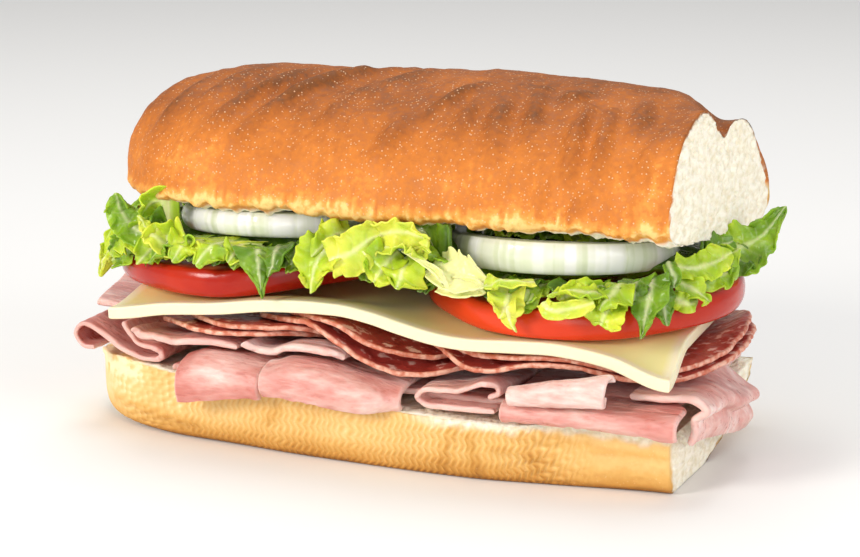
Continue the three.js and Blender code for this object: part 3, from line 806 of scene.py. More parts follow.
@dataclass
class LoafHalf:
    """One half of the roll: a round heel, then sections along the roll to a flat cut face.

    The heel's rows have x = heel + length * (1 - cos b) for b from 0 to a right angle, and their
    sections shrink towards the tip by sin b in width and by (sin b) to the power sink in height.
    """

    heel_x: float
    tip: tuple[float, float]
    cap: tuple[float, float]
    sink: float
    heel_rows: int
    body_rows: int
    cap_rows: int

    def section(self, x: Array, t: Array) -> Array:
        """(y, z) of the outline at x, shaped (len(x), len(t), 2)."""
        raise NotImplementedError

    def outline(self) -> Array:
        """The places t from 0 to 1 round the section where the surface has points."""
        raise NotImplementedError

    def along(self) -> tuple[Array, Array]:
        """x of each row and its turn b round the heel, a right angle from the heel's end on."""
        b = np.linspace(0, math.pi / 2, self.heel_rows + 1)[1:]
        heel = self.heel_x + HEEL_LENGTH * (1 - np.cos(b))
        body = np.linspace(heel[-1], CUT_X, self.body_rows + 1)[1:]
        return np.concatenate([heel, body]), np.concatenate([b, np.full(self.body_rows, math.pi / 2)])

    def grid(self) -> tuple[Array, Array]:
        """Points of heel, body and cut face as rows, and how far each row lies on the cut face."""
        x, b = self.along()
        yz = self.section(x, self.outline())
        wide = np.sin(b)[:, None]
        y = self.tip[0] + (yz[..., 0] - self.tip[0]) * wide
        z = self.tip[1] + (yz[..., 1] - self.tip[1]) * wide**self.sink
        shell = stacked(x[:, None], y, z)
        shrink = 1 - np.linspace(0, 1, self.cap_rows + 1)[1:-1, None, None]
        middle = np.array([CUT_X, *self.cap])
        face = middle + (shell[-1] - middle) * shrink
        rows = np.concatenate([shell, face])
        on_cut = np.concatenate([np.zeros(len(shell)), 1 - shrink[:, 0, 0]])
        return rows, on_cut

    def close(self, rows: Array, values: dict[str, Array]) -> Skin:
        """The rows as a closed surface, with a point added at each end.

        Args:
            rows: points shaped (n, m, 3), each row a closed ring.
            values: named values shaped (n, m).

        Returns:
            The surface with its faces outwards.
        """
        heel = np.array([self.heel_x, *self.tip])
        ends = {name: (value[0].mean(), value[-1].mean()) for name, value in values.items()}
        return Skin.capped(rows, values, heel, rows[-1].mean(axis=0), ends)


@dataclass
class TopBun(LoafHalf):
    """The top half: a smooth browned dome with creases, a pale frayed lip and a grooved cut face."""

    heel_x: float = TOP_HEEL_X
    tip: tuple[float, float] = (0.0, 57.5)
    cap: tuple[float, float] = (3.0, 61.5)
    sink: float = 0.62
    heel_rows: int = 50
    body_rows: int = 160
    cap_rows: int = 64
    around: int = 356

    # Outline across the middle and across the cut end, from the front lip over the dome to the back
    # lip and back along the underside. The cut end is split by a shallow groove.
    middle: tuple[tuple[float, float], ...] = (
        (-39, 58.2), (-38.4, 63), (-35, 71.5), (-26, 79.6), (-14, 84.2), (0, 86), (13, 84.6), (26, 78.5),
        (36, 69.5), (43, 59), (43.5, 53), (37, 49.6), (20, 50.2), (0, 53), (-18, 55), (-32, 56.4),
    )
    cut: tuple[tuple[float, float], ...] = (
        (-38.4, 58.6), (-37, 65.4), (-33, 73.3), (-26.7, 78.4), (-16, 81.8), (-7.5, 80.6), (2.6, 74.2),
        (10, 76.6), (23, 75), (35.4, 65.8), (44.6, 54.6), (40, 49.2), (21, 47.7), (5, 50.2), (-12, 52.6),
        (-30, 55),
    )
    back_lip: float = 10 / 16

    # How far the crest lies above that of the middle outline along the roll
    crest: Pairs = (
        (-60, -1.3), (-35, -1.3), (-10, -0.9), (5, -0.7), (20, -0.2), (35, -0.5), (50, -1.4), (62, -2.4),
        (76, -3.4),
    )

    # Creases in the crust as (x, arc, x, arc, width, depth): a stroke between two places, where the
    # arc is the distance over the dome from the front lip.
    creases: tuple[tuple[float, ...], ...] = (
        (-52.5, 9, -46.5, 46, 2.6, 1.0),
        (-60, 22, -54, 44, 3.0, 0.7),
        (-43, 24, -35, 50, 2.8, 0.8),
        (-36.5, 15, -22.5, 52, 2.4, 1.2),
        (-28.5, 17, -10, 50, 2.4, 1.2),
        (-18, 34, -2, 62, 3.0, 0.9),
        (-9, 19, -5, 36, 2.2, 0.7),
        (8, 14, 11, 24, 2.8, 1.2),
        (0, 36, 8, 60, 3.4, 0.8),
        (15, 27, 23, 42, 2.0, 1.1),
        (24, 20, 26, 36, 1.8, 0.6),
        (34, 15, 31, 38, 2.0, 0.8),
        (42, 20, 37, 44, 2.0, 1.0),
        (45.5, 36, 46.5, 42, 3.0, 1.3),
        (52.5, 12, 51, 36, 1.8, 1.3),
        (58.8, 12, 56.4, 34, 1.8, 1.0),
        (52.8, 0, 56, 8, 1.5, 0.8),
        (46, 2, 48, 12, 1.4, 0.5),
        (68.4, 9, 69.8, 26, 1.8, 0.6),
        (64, 26, 62, 44, 2.2, 0.7),
        (-30, 80, 20, 88, 4.0, 0.8),
        (10, 100, 50, 92, 4.0, 0.8),
    )

    def section(self, x: Array, t: Array) -> Array:
        """(y, z) on closed curves through both outlines' points, blended from the middle to the cut end."""
        share = smooth(60, CUT_X, x)[:, None, None] ** 2
        middle = np.array(self.middle)
        lift = through(self.crest, x)[:, None] * np.clip((middle[:, 1] - 60) / 25, 0, 1)
        knots = (middle + stacked(0.0, lift)) * (1 - share) + np.array(self.cut) * share
        n = len(self.middle)
        i = np.floor(t * n).astype(int)
        s = (t * n - i)[:, None]
        p0, p1, p2, p3 = (knots[:, (i + k) % n] for k in (-1, 0, 1, 2))
        turn = 2 * p0 - 5 * p1 + 4 * p2 - p3
        bow = -p0 + 3 * p1 - 3 * p2 + p3
        return 0.5 * (2 * p1 + (p2 - p0) * s + turn * s**2 + bow * s**3)

    def outline(self) -> Array:
        """Places at even steps of arc length round the middle section."""
        dense = np.linspace(0, 1, 2000)
        line = self.section(np.array([0.0]), dense % 1)[0]
        arc = np.concatenate([[0], np.cumsum(np.linalg.norm(np.diff(line, axis=0), axis=1))])
        return np.interp(np.linspace(0, arc[-1], self.around + 1)[:-1], arc, dense)

    def skin(self) -> Skin:
        """The dome with its relief: creases, soft swellings, a fibrous lip and pores on the crumb."""
        rows, on_cut = self.grid()
        t = self.outline()
        n = len(rows)
        x = rows[..., 0]
        step = np.linalg.norm(np.diff(rows, axis=1, append=rows[:, :1]), axis=2)
        arc = np.cumsum(step, axis=1) - step
        over = np.broadcast_to(t <= self.back_lip, (n, len(t)))
        reach = arc[:, np.searchsorted(t, self.back_lip)][:, None]
        back_arc = np.clip(reach - arc, 0, None)
        lip = np.minimum(arc, back_arc)
        under = np.minimum(step.sum(axis=1)[:, None] - arc, np.abs(arc - reach))
        crust = np.where(over, 1.0, smooth(4.5, 2.0, under + 0.8 * noise(rows, (1.1, 2, 2), 5)))
        rind = smooth(0.034, 0.012, on_cut[:, None] + 0.012 * noise(rows, 1.2, 9))
        crust = crust * np.where(on_cut[:, None] > 0, rind, 1.0)
        normal = -grid_normals(rows, True)
        dent = np.zeros_like(x)
        for x0, s0, x1, s1, width, depth in self.creases:
            run = np.array([x1 - x0, s1 - s0])
            share = np.clip(((x - x0) * run[0] + (arc - s0) * run[1]) / (run @ run), 0, 1)
            away = np.hypot(x - x0 - share * run[0], arc - s0 - share * run[1])
            away = np.abs(away + 0.6 * noise(rows, 8, 31))
            valley = np.exp(-((away / width) ** 2)) - 0.4 * np.exp(-((away / width - 1.9) ** 2))
            dent += 1.35 * depth * valley * np.sin(math.pi * np.clip(share, 0.1, 0.9)) ** 0.7
        wrinkle = np.abs(noise(rows, (2.2, 3.6, 3.6), 51)) + 0.6 * np.abs(noise(rows, (1.1, 1.9, 1.9), 52))
        swell = 0.7 * cloud(rows, 18, 3, 2) + 0.16 * cloud(rows, 3, 13, 2) - 0.09 * wrinkle
        streaks = noise(rows, (0.9, 5, 5), 22) + 0.5 * noise(rows, (1.8, 9, 9), 21)
        fray = 0.42 * np.where(over, smooth(5, 0.5, lip), smooth(3, 0.5, under)) * streaks
        holes = smooth(0.35, 0.8, noise(rows, (2, 3.4, 2), 47))
        pores = 0.42 * cloud(rows, (1.5, 2.2, 1.3), 41, 2) - 0.6 * holes
        height = crust * (swell - dent + fray) + (1 - crust) * pores
        cut_rows = (on_cut > 0)[:, None]
        normal = np.where(cut_rows[..., None], np.array([1.0, 0.0, 0.0]), normal)
        height = np.where(cut_rows, np.minimum(height, 0.25), height)
        ragged = noise(rows * (1, 0, 0), 2.6, 61) + 0.6 * noise(rows * (1, 0, 0), 0.9, 62)
        wobble = smooth(5, 0, lip) * 0.6 * ragged
        wobble = wobble * (on_cut[:, None] < 0.03)
        rows = rows + normal * height[..., None] + stacked(0.0, 0.0, 1.0) * wobble[..., None]
        # Painted light in the crust's colour: the top of the dome, and the dome beyond it towards the back,
        # are darker, partly real browning and partly painted shade.
        high = smooth(60, 84, rows[..., 2]) * smooth(-42, -24, rows[..., 1])
        bake = 0.02 + 0.32 * smooth(0.5, 4.5, lip + 0.9 * streaks) + 0.16 * smooth(4, 30, lip) + 0.28 * high
        # The crease valleys are painted darker as painted shade, and their raised shoulders lighter as
        # painted highlight.
        bake = bake + 0.1 * smooth(40, 70, arc) + 0.14 * np.clip(dent, -0.4, 1.2) + 0.1 * noise(rows, 14, 77)
        bake = bake + 0.05 * noise(rows, 4.5, 78) + 0.05 * streaks
        return self.close(rows, {"crust": crust, "bake": np.clip(bake, 0, 1)})


@dataclass
class BottomBun(LoafHalf):
    """The bottom half: a golden crust with the print of a woven baking mat, and cream crumb."""

    heel_x: float = HEEL_X
    tip: tuple[float, float] = (-1.0, 10.0)
    cap: tuple[float, float] = (3.0, 7.0)
    sink: float = 0.35
    heel_rows: int = 54
    body_rows: int = 330
    cap_rows: int = 24

    front_foot: Pairs = ((-60, -29), (-36, -31), (-11, -34.5), (30, -36.8), (49, -34.5), (76, -31))
    front_side: Pairs = ((-60, -33), (-36, -35), (0, -37.6), (30, -38.4), (50, -36.8), (76, -34.4))
    front_top: Pairs = (
        (-77, 17), (-61, 17.2), (-43, 16.3), (0, 14.6), (38, 13.3), (52, 14.3), (76, 13.2),
    )
    back_foot: Pairs = ((42, 18), (76, -5))
    back_side: float = 34.5
    back_top: float = 15.6

    # Shares of the outline: the base, the front side, the top and, to the end, the back side
    base_end: float = 0.2
    front_end: float = 0.45
    top_end: float = 0.7

    # The mat's print: height of a row of slanted stitches and the distance between two stitches
    print_row: float = 1.75
    print_pitch: float = 1.6
    print_depth: float = 0.38

    # Wrinkles in the side as (x, z, x, z, width, depth)
    wrinkles: tuple[tuple[float, ...], ...] = (
        (24, 3, 27, 12, 1.3, 0.5),
        (33, 2, 31, 10, 1.2, 0.6),
        (36, 8, 50, 6.5, 1.0, 0.45),
        (40, 11, 58, 10.5, 0.9, 0.4),
        (47, 4, 44, 9, 1.4, 0.5),
        (-20, 7.5, -17, 11, 1.2, 0.45),
        (-66, 6.5, -40, 4.5, 1.3, 0.6),
        (60, 9.5, 75, 9, 0.9, 0.35),
    )

    def section(self, x: Array, t: Array) -> Array:
        """(y, z): flat base, quarter-ellipse sides and a slightly dished top.

        Near the cut end the back side rises from the base like a ramp.
        """
        foot, side, top, back_foot = (
            through(p, x)[:, None] for p in (self.front_foot, self.front_side, self.front_top, self.back_foot)
        )
        t = t[None, :]
        base = stacked(mix(back_foot, foot, t / self.base_end), 0.0)
        a = (t - self.base_end) / (self.front_end - self.base_end) * math.pi / 2
        front = stacked(foot + (side - foot) * np.sin(a), top * (1 - np.cos(a)))
        s = (t - self.front_end) / (self.top_end - self.front_end)
        dish = 0.7 * np.sin(math.pi * s)
        upper = stacked(mix(side, self.back_side, s), mix(top, self.back_top, s) - dish)
        a = (1 - t) / (1 - self.top_end) * math.pi / 2
        rise = mix(1 - np.cos(a), np.sin(a), 0.5 * smooth(48, CUT_X, x)[:, None])
        back = stacked(back_foot + (self.back_side - back_foot) * np.sin(a), self.back_top * rise)
        t = np.broadcast_to(t, upper.shape[:2])[..., None]
        beyond = np.where(t < self.top_end, upper, back)
        return np.where(t < self.base_end, base, np.where(t < self.front_end, front, beyond))

    def outline(self) -> Array:
        """Places round the section, closest on the two sides that show."""
        return np.concatenate([
            np.linspace(0, self.base_end, 16, endpoint=False),
            np.linspace(self.base_end, self.front_end, 56, endpoint=False),
            np.linspace(self.front_end, self.top_end, 44, endpoint=False),
            np.linspace(self.top_end, 1, 50, endpoint=False),
        ])

    def woven(self, x: Array, arc: Array) -> Array:
        """The mat's print from -1 to 1: rows of slanted ridges whose slant turns from row to row."""
        row = np.floor(arc / self.print_row)
        within = arc / self.print_row - row
        slant = np.where(row % 2 == 0, 1.0, -1.0)
        phase = x / self.print_pitch + slant * 0.55 * within + 0.37 * row
        return np.cos(2 * math.pi * phase) * np.sin(math.pi * within) ** 0.5

    def skin(self) -> Skin:
        """The loaf half with the mat's print, wrinkles, a torn top edge and pored crumb."""
        rows, on_cut = self.grid()
        t = self.outline()
        on_cut = on_cut[:, None]
        x, y, z = rows[..., 0], rows[..., 1], rows[..., 2]
        step = np.linalg.norm(np.diff(rows, axis=1, append=rows[:, :1]), axis=2)
        arc = np.cumsum(step, axis=1) - step
        side = ((t >= self.base_end) & (t < self.front_end)) | (t >= self.top_end)
        side = np.broadcast_to(side, x.shape).astype(float)
        ragged = noise(rows * (1, 0, 1), 1.4, 4) + 0.6 * noise(rows * (1, 0, 1), 4.0, 5)
        torn = smooth(14, 26, x) * smooth(-30, -33, y)
        top_edge = smooth(-2.4, -0.6, z - through(self.front_top, x) + 0.9 * ragged)
        crust = side * (1 - torn * top_edge)
        heel_top = smooth(-52, -60, x) * smooth(10.5, 13.5, z + 1.2 * noise(rows, 6, 8))
        rind = smooth(0.06, 0.02, on_cut + 0.03 * noise(rows, 1.3, 9))
        crust = np.maximum(crust, heel_top * (on_cut == 0)) * np.where(on_cut > 0, rind, 1.0)
        dent = np.zeros_like(x)
        for x0, z0, x1, z1, width, depth in self.wrinkles:
            run = np.array([x1 - x0, z1 - z0])
            share = np.clip(((x - x0) * run[0] + (z - z0) * run[1]) / (run @ run), 0, 1)
            away = np.hypot(x - x0 - share * run[0], z - z0 - share * run[1]) + 0.5 * noise(rows, 3, 33)
            dent += depth * np.exp(-((away / width) ** 2)) * (y < 0)
        warped = arc + 0.8 * noise(rows, 7, 15) + 0.2 * noise(rows, 2, 18)
        faded = 0.6 + 0.4 * smooth(-0.5, 0.5, noise(rows, 11, 16))
        faded = faded * smooth(-72, -58, x) * smooth(60, 46, x) ** 0.5
        weave = self.print_depth * faded * self.woven(x + 0.9 * noise(rows, 6, 17), warped)
        swell = 0.35 * cloud(rows, 14, 3, 2)
        ridge = 0.3 * cloud(rows * (0.4, 1, 1), 2.2, 19, 2) * smooth(42, 56, x)
        pores = 0.3 * cloud(rows, 1.7, 41, 3) - 0.7 * smooth(0.5, 0.85, noise(rows, 2.6, 47))
        frill = torn * side * top_edge * (0.55 + 0.8 * np.maximum(ragged, -0.4))
        flat = smooth(0.0, 1.5, z)
        lumps = heel_top * (0.5 * cloud(rows, 3.4, 27, 2) + 0.25 * cloud(rows, 1.3, 29, 2))
        height = (crust * (weave + swell + ridge + lumps - dent) + (1 - crust) * 0.6 * pores) * flat + frill
        normal = -grid_normals(rows, True)
        cut_rows = on_cut > 0
        normal = np.where(cut_rows[..., None], np.array([1.0, 0.0, 0.0]), normal)
        height = np.where(cut_rows, np.minimum(pores, 0.2), height)
        rows = rows + normal * height[..., None]
        rows[..., 2] = np.maximum(rows[..., 2], 0)
        # The crust is painted darker towards the base, partly the bottom crust's real browning and partly
        # painted shade under the loaf.
        low = smooth(7, 0, z)
        # The mat's print is painted darker in its valleys as painted shade and lighter on its ridges as
        # painted highlight.
        bake = 0.28 + 0.34 * low + 0.25 * smooth(1.6, 0.2, z) - 0.18 * weave / self.print_depth
        blister = smooth(0.1, 0.7, cloud(rows, 3.4, 27, 2))
        bake = bake - (0.24 - 0.3 * blister) * heel_top - 0.12 * smooth(-50, -66, x)
        # The wrinkles are painted darker: painted shade in their hollows.
        bake = bake + 0.3 * dent + 0.06 * noise(rows, 9, 23)
        return self.close(rows, {"crust": crust, "bake": np.clip(bake, 0, 1)})


def settles(y: Array) -> Array:
    """1 at the front edge of the filling, 0 from a third of the way in: how much of a fold still shows."""
    return smooth(-16, -36, y)


@dataclass
class HamSlices:
    """Eleven slices of ham: ribbons whose folds show in front, drapes that hang over the bread, and more."""

    def finish_sheet(
        self, surface: Callable[[Array, Array], Array], thickness: float, counts: tuple[int, int],
        lengths: tuple[float, float], seed: int, tone: float,
    ) -> Skin:
        """A slice with uneven faces and a slightly ragged edge.

        Args:
            surface: its middle surface over u and v.
            thickness: in millimetres.
            counts: rows along u and v.
            lengths: rough size along u and v in millimetres.
            seed: chooses its unevenness.
            tone: how pale it is, from 0 to 1.

        Returns:
            The closed slice.
        """
        def ragged(u: Array, v: Array) -> Array:
            """The surface with both ends of v moved in and out by up to half a millimetre."""
            place = stacked(u * lengths[0], 0.0, seed * 7.0)
            out = 0.45 * noise(place, 1.6, seed) + 0.5 * noise(place, 6.0, seed + 1)
            return surface(u, np.clip(v, 0, 1)) + stacked(0.0, 1.0, 0.0) * (out * (2 * v - 1) ** 9)[..., None]

        def relief(points: Array, side: float) -> Array:
            """Soft lumps and long fibres of a tenth of a millimetre, other ones on each side."""
            fibres = noise(points, (4.0, 1.4, 1.4), seed + 3)
            return 0.16 * cloud(points, 3.5, seed + int(side), 2) + 0.08 * fibres

        def paint(points: Array, u: Array, v: Array, side: float) -> dict[str, Array]:
            """The slice's paleness, uneven over some centimetres."""
            return {"tone": tone + 0.12 * noise(points, 16, seed + 5)}

        return slab(ragged, thickness, counts, lengths, relief, paint)

    def ribbon(
        self, profile: Pairs, front: float, back: float, rest: float | None, thickness: float, seed: int,
        tone: float,
    ) -> Skin:
        """A slice whose profile across X and Z runs from front to back.

        With a rest height its folds flatten towards it, to 0.35 of their height, behind the front.
        """
        knots = stacked(np.array(profile)[:, 0], 0.0, np.array(profile)[:, 1])
        mean = knots[:, 2].mean()
        run = float(np.linalg.norm(np.diff(knots, axis=0), axis=1).sum())

        def surface(u: Array, v: Array) -> Array:
            """The profile at u, carried to the depth at v."""
            p = spline(knots, u[:, 0])[:, None, :] + 0 * v[..., None]
            ends = 1.5 * np.sin(7 * u) * (1 - v) + 1.6 * np.sin(5 * u) * v
            y = mix(front, back, v) + ends
            z = p[..., 2]
            if rest is not None:
                z = mix(rest + 0.35 * (z - mean), z, settles(y))
            return stacked(p[..., 0], y, z)

        return self.finish_sheet(surface, thickness, (int(run * 1.6), 60), (run, back - front), seed, tone)

    def drape(
        self, left: float, right: float, hem: Pairs, brow: Pairs, rear: Pairs, back: float, seed: int,
        tone: float, front: float = -41.0, curl: float = 0.0, rear_right: float | None = None,
    ) -> Skin:
        """A slice that lies on the filling below and hangs over the roll's front edge.

        At each x a curve runs through seven points, from the hem up over the brow and level to the back.
        Behind the front its right end may lie at rear_right.
        """
        def surface(u: Array, v: Array) -> Array:
            """The curve at u read at v."""
            x = mix(left, right, u[:, 0])
            low, high, behind = through(hem, x), through(brow, x), through(rear, x)
            turn = curl * smooth(0.75, 1, u[:, 0])
            path = [
                (front + 0.6 + turn, low), (front - 0.4 + turn, (2 * low + high) / 3),
                (front + 0.3 + turn, (low + 3 * high) / 4), (front + 4.5 + turn, high),
                (front + 14 + 0 * turn, (high + behind) / 2), (0 * turn, behind), (back + 0 * turn, behind),
            ]
            knots = np.stack([stacked(x, y, z) for y, z in path], axis=1)
            points = spline(knots, v[0])
            if rear_right is not None:
                points[..., 0] += u * (rear_right - right) * smooth(0.55, 0.75, v)
            return points

        wide = right - left
        return self.finish_sheet(surface, HAM, (int(wide * 1.5), 90), (wide, 90.0), seed, tone)

    def long_slice(self) -> Skin:
        """The long slice on the bread, with z = 16.9 + 0.25 sin(x / 9) + 0.2 sin(y / 8)."""
        def surface(u: Array, v: Array) -> Array:
            """The slice between X -46 and 74 and Y -33 and 31."""
            x, y = mix(-46, 74, u), mix(-33, 31, v)
            return stacked(x, y, 16.9 + 0.25 * np.sin(x / 9) + 0.2 * np.sin(y / 8))

        return self.finish_sheet(surface, HAM, (120, 50), (120.0, 64.0), 103, 0.5)

    def rolled(self) -> Skin:
        """The rolled slice: an oval cone that opens and rises to the right."""
        def surface(u: Array, v: Array) -> Array:
            """Angle by u over 290 degrees, x by v."""
            x = mix(41.5, 63.5, v) + 2 * u * v
            a = np.radians(-235 + 290 * u)
            y = -42.2 + mix(1.5, 2.5, v) * np.sin(a)
            return stacked(x, y, 21.4 + 3.2 * v + mix(1.5, 3.3, v) * np.cos(a))

        return self.finish_sheet(surface, HAM_LOOP, (60, 40), (15.0, 23.0), 108, 0.85)

    def end_fold(self) -> Skin:
        """The slice that folds under itself and hangs over the bread at the cut end."""
        def surface(u: Array, v: Array) -> Array:
            """The fold's curve across the roll at u, read at v."""
            y = mix(-35, 7.5, u[:, 0])
            high = 21.4 - 6.4 * smooth(-30, 10, y) + 0.4 * np.sin(y / 3.4)
            low = 12.6 - 6.8 * smooth(-35, 10, y)
            path = [
                (67 + 0 * y, 22.1 + 0 * y), (74.5 + 0 * y, 22 - 0.2 * (21.4 - high)),
                (81 + 0 * y, high + 0.8), (84.2 + 0 * y, high - 1.4), (81.6 + 0 * y, high - 3.6),
                (82.2 + 0.6 * np.sin(y / 4), (high + low) / 2 - 1.6), (80.8 + 0 * y, low),
            ]
            knots = np.stack([stacked(x, y, z) for x, z in path], axis=1)
            return spline(knots, v[0])

        return self.finish_sheet(surface, HAM, (80, 60), (42.5, 34.0), 110, 0.7)

    def left_flap(self) -> Skin:
        """The flap that stands out at the top left, under the cheese."""
        def surface(u: Array, v: Array) -> Array:
            """z = 27.8, rising by 0.9 to the left, with a wave across the roll and a slanted left edge."""
            x, y = mix(mix(-71, -81, v), -58, u), mix(-24, 8, v)
            return stacked(x, y, 27.8 + 0.9 * smooth(-62, -76, x) - 0.4 * np.cos(y / 7))

        return self.finish_sheet(surface, HAM, (30, 40), (18.0, 32.0), 111, 0.7)

    def skins(self) -> dict[str, Skin]:
        """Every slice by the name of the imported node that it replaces."""
        return {
            "ham_1": self.ribbon(
                (
                    (-68.4, 19.3), (-71.8, 19.5), (-74, 21.9), (-72, 24.6), (-67.5, 22.9), (-62, 20),
                    (-56.6, 18.1), (-52.6, 17.9), (-50.4, 18.4), (-49.4, 19.5), (-50.4, 20.7), (-52.6, 21.1),
                    (-56, 21.5), (-59, 23.4), (-61, 26),
                ), -31, 24, None, HAM_LOOP, 101, 0.42,
            ),
            "ham_2": self.ribbon(
                (
                    (-54.6, 26.6), (-53, 24.9), (-49, 24.6), (-44.6, 24.3), (-40, 25.2), (-34, 25.4),
                    (-27.4, 24.4),
                ), -37, 30, 23.1, HAM, 102, 0.6,
            ),
            "ham_3": self.long_slice(),
            "ham_4": self.drape(
                -41, -19.4, ((-41, 11.4), (-34, 12.4), (-20, 14)),
                ((-41, 20.4), (-36, 22.2), (-28, 22), (-20, 20.7)), ((-41, 19.7), (-20, 19.7)), 33, 104, 0.4,
            ),
            "ham_5": self.drape(
                -18.9, 14.5, ((-18, 15.6), (-8, 14.8), (4, 13.9), (14, 14.4)),
                ((-18, 21.6), (-13, 22.9), (-6, 22.8), (2, 21.2), (14, 19)), ((-18, 19.9), (14, 19.3)),
                32, 105, 0.62, front=-42.2, curl=4,
            ),
            "ham_6": self.ribbon(
                ((-25.2, 26), (-22.4, 24.1), (-18.4, 24.2), (-14, 26), (-8, 26.4), (-3, 25.8), (0, 24.6)),
                -38, 33, 23.1, HAM, 106, 0.85,
            ),
            "ham_7": self.ribbon(
                (
                    (37, 16.2), (31, 15.9), (24, 15.7), (19.6, 15.8), (17.9, 17.4), (19.4, 19.3), (24, 19.9),
                    (28, 20.3), (31.5, 21.6), (34.6, 22.7), (37.2, 22.2), (37.7, 20.4), (35.2, 19.1),
                ), -38.6, 32, 18.6, HAM_LOOP, 107, 0.6,
            ),
            "ham_8": self.rolled(),
            "ham_9": self.drape(
                39, 79.5, ((39, 15.4), (57, 15.7), (70, 15.2), (76, 14.6)),
                ((39, 19), (60, 19.1), (73, 19.2)), ((39, 19.4), (76, 19.4)), 31, 109, 0.45,
                front=-40.6, rear_right=68,
            ),
            "ham_10": self.end_fold(),
            "ham_11": self.left_flap(),
        }


@dataclass
class SalamiSlice:
    """A thin oval slice whose front edge rises and falls as it lies over the others.

    x and y follow a square turned to an oval: x = middle + half * a * sqrt(1 - 0.44 b b), and y alike.
    """

    left: float
    right: float
    curl: float
    level: Pairs
    edge: Pairs
    seed: int
    front: float = -38.5
    back: float = 36.0
    squareness: float = 0.44

    def skin(self) -> Skin:
        """The slice as a thin closed sheet with bumpy faces."""
        cx, half_x = (self.left + self.right) / 2, (self.right - self.left) / 2
        cy, half_y = (self.front + self.back) / 2, (self.back - self.front) / 2

        def surface(u: Array, v: Array) -> Array:
            """The middle surface, its rim moved in and out by a fifth of a millimetre."""
            a, b = 2 * u - 1, 2 * v - 1
            x = cx + half_x * a * np.sqrt(1 - self.squareness * b * b)
            y = cy + half_y * b * np.sqrt(1 - self.squareness * a * a)
            rise = self.curl * smooth(70, 84, x) * smooth(-25, 20, y)
            z = mix(through(self.level, x), through(self.edge, x), settles(y)) + rise
            flat = stacked(x, y, 0.0)
            out = 0.3 * noise(flat, 1.3, self.seed) + 0.3 * noise(flat, 5.0, self.seed + 1)
            middle = np.array([cx, cy, 0.0])
            rim = np.maximum(np.abs(a), np.abs(b)) ** 9
            points = stacked(x, y, z + 0.12 * noise(flat, 2.5, self.seed + 2))
            return points + unit(flat - middle) * (out * rim)[..., None]

        def relief(points: Array, side: float) -> Array:
            """Grains of fat and meat, a tenth of a millimetre high."""
            return 0.09 * cloud(points, 1.8, self.seed + 4 + int(side), 2)

        return slab(surface, SALAMI, (110, 100), (2 * half_x, 2 * half_y), relief)


SALAMI_SLICES = (
    SalamiSlice(
        -57, -4, 0, ((-57, 25.3), (-4, 25.3)),
        ((-53, 28.8), (-45, 28.5), (-33, 27.9), (-20, 28.3), (-11, 28.2)), 201,
    ),
    SalamiSlice(
        -49, 0, 0, ((-49, 26.8), (0, 26.8)),
        ((-44, 30.4), (-31, 29.7), (-20, 30), (-12, 29.9), (-5, 28.4)), 211,
    ),
    SalamiSlice(
        -33, 36, 0, ((-33, 28.4), (0, 28.3), (13, 24.9), (36, 24.3)),
        ((-26, 31.8), (-18, 31.6), (-9, 31.8), (-2, 28.8), (5, 25), (11, 22.7), (17, 22), (28, 23)), 221,
    ),
    SalamiSlice(
        -24, 28, 0, ((-24, 30), (0, 29.8), (14, 26.5), (28, 26)),
        ((-17, 33.1), (-2, 32.6), (7, 28.4), (15, 26.2), (20, 25.2)), 231,
    ),
    SalamiSlice(
        8, 84, 4, ((8, 29.3), (22, 28), (34, 27.2), (84, 25.2)),
        (
            (12, 31.8), (17, 29.1), (23, 26.8), (28, 24.9), (36, 25.2), (44, 27.4), (56, 27.8), (66, 25.4),
            (84, 24),
        ), 241,
    ),
    SalamiSlice(
        12, 83, 5, ((12, 30.8), (24, 29.5), (40, 28.7), (84, 27)),
        ((16, 31), (24, 28.6), (30, 27.9), (38, 28.4), (52, 29.6), (63, 27.8), (72, 26.8), (84, 26)), 251,
    ),
)


@dataclass
class CheeseSlice:
    """One square slice whose front edge sags between what it lies on."""

    edge: Pairs = (
        (-60, 30.6), (-44, 32.9), (-31, 34.1), (-18, 35.9), (-1, 36.5), (7, 35.5), (15, 33.6), (23, 32),
        (31, 31.4), (42, 31.9), (52, 32.1), (64, 30.5), (77, 26.6),
    )
    level: Pairs = ((-10, 33.9), (12, 33.2), (30, 32.2), (80, 32))

    def skin(self) -> Skin:
        """The slice: z blends from the front edge's curve to the level one between Y -39 and -22."""
        def surface(u: Array, v: Array) -> Array:
            """The middle surface between slanted left and right edges."""
            x = mix(mix(-58.6, -53, v), mix(77.6, 72, v), u)
            y = mix(-40.5, CHEESE_BACK, v)
            return stacked(x, y, mix(through(self.level, x), through(self.edge, x), smooth(-22, -39, y)))

        def relief(points: Array, side: float) -> Array:
            """Barely uneven faces."""
            return 0.05 * cloud(points, 8, 301, 2)

        return slab(surface, CHEESE, (200, 110), (138.0, 78.5), relief, corner=0.5)


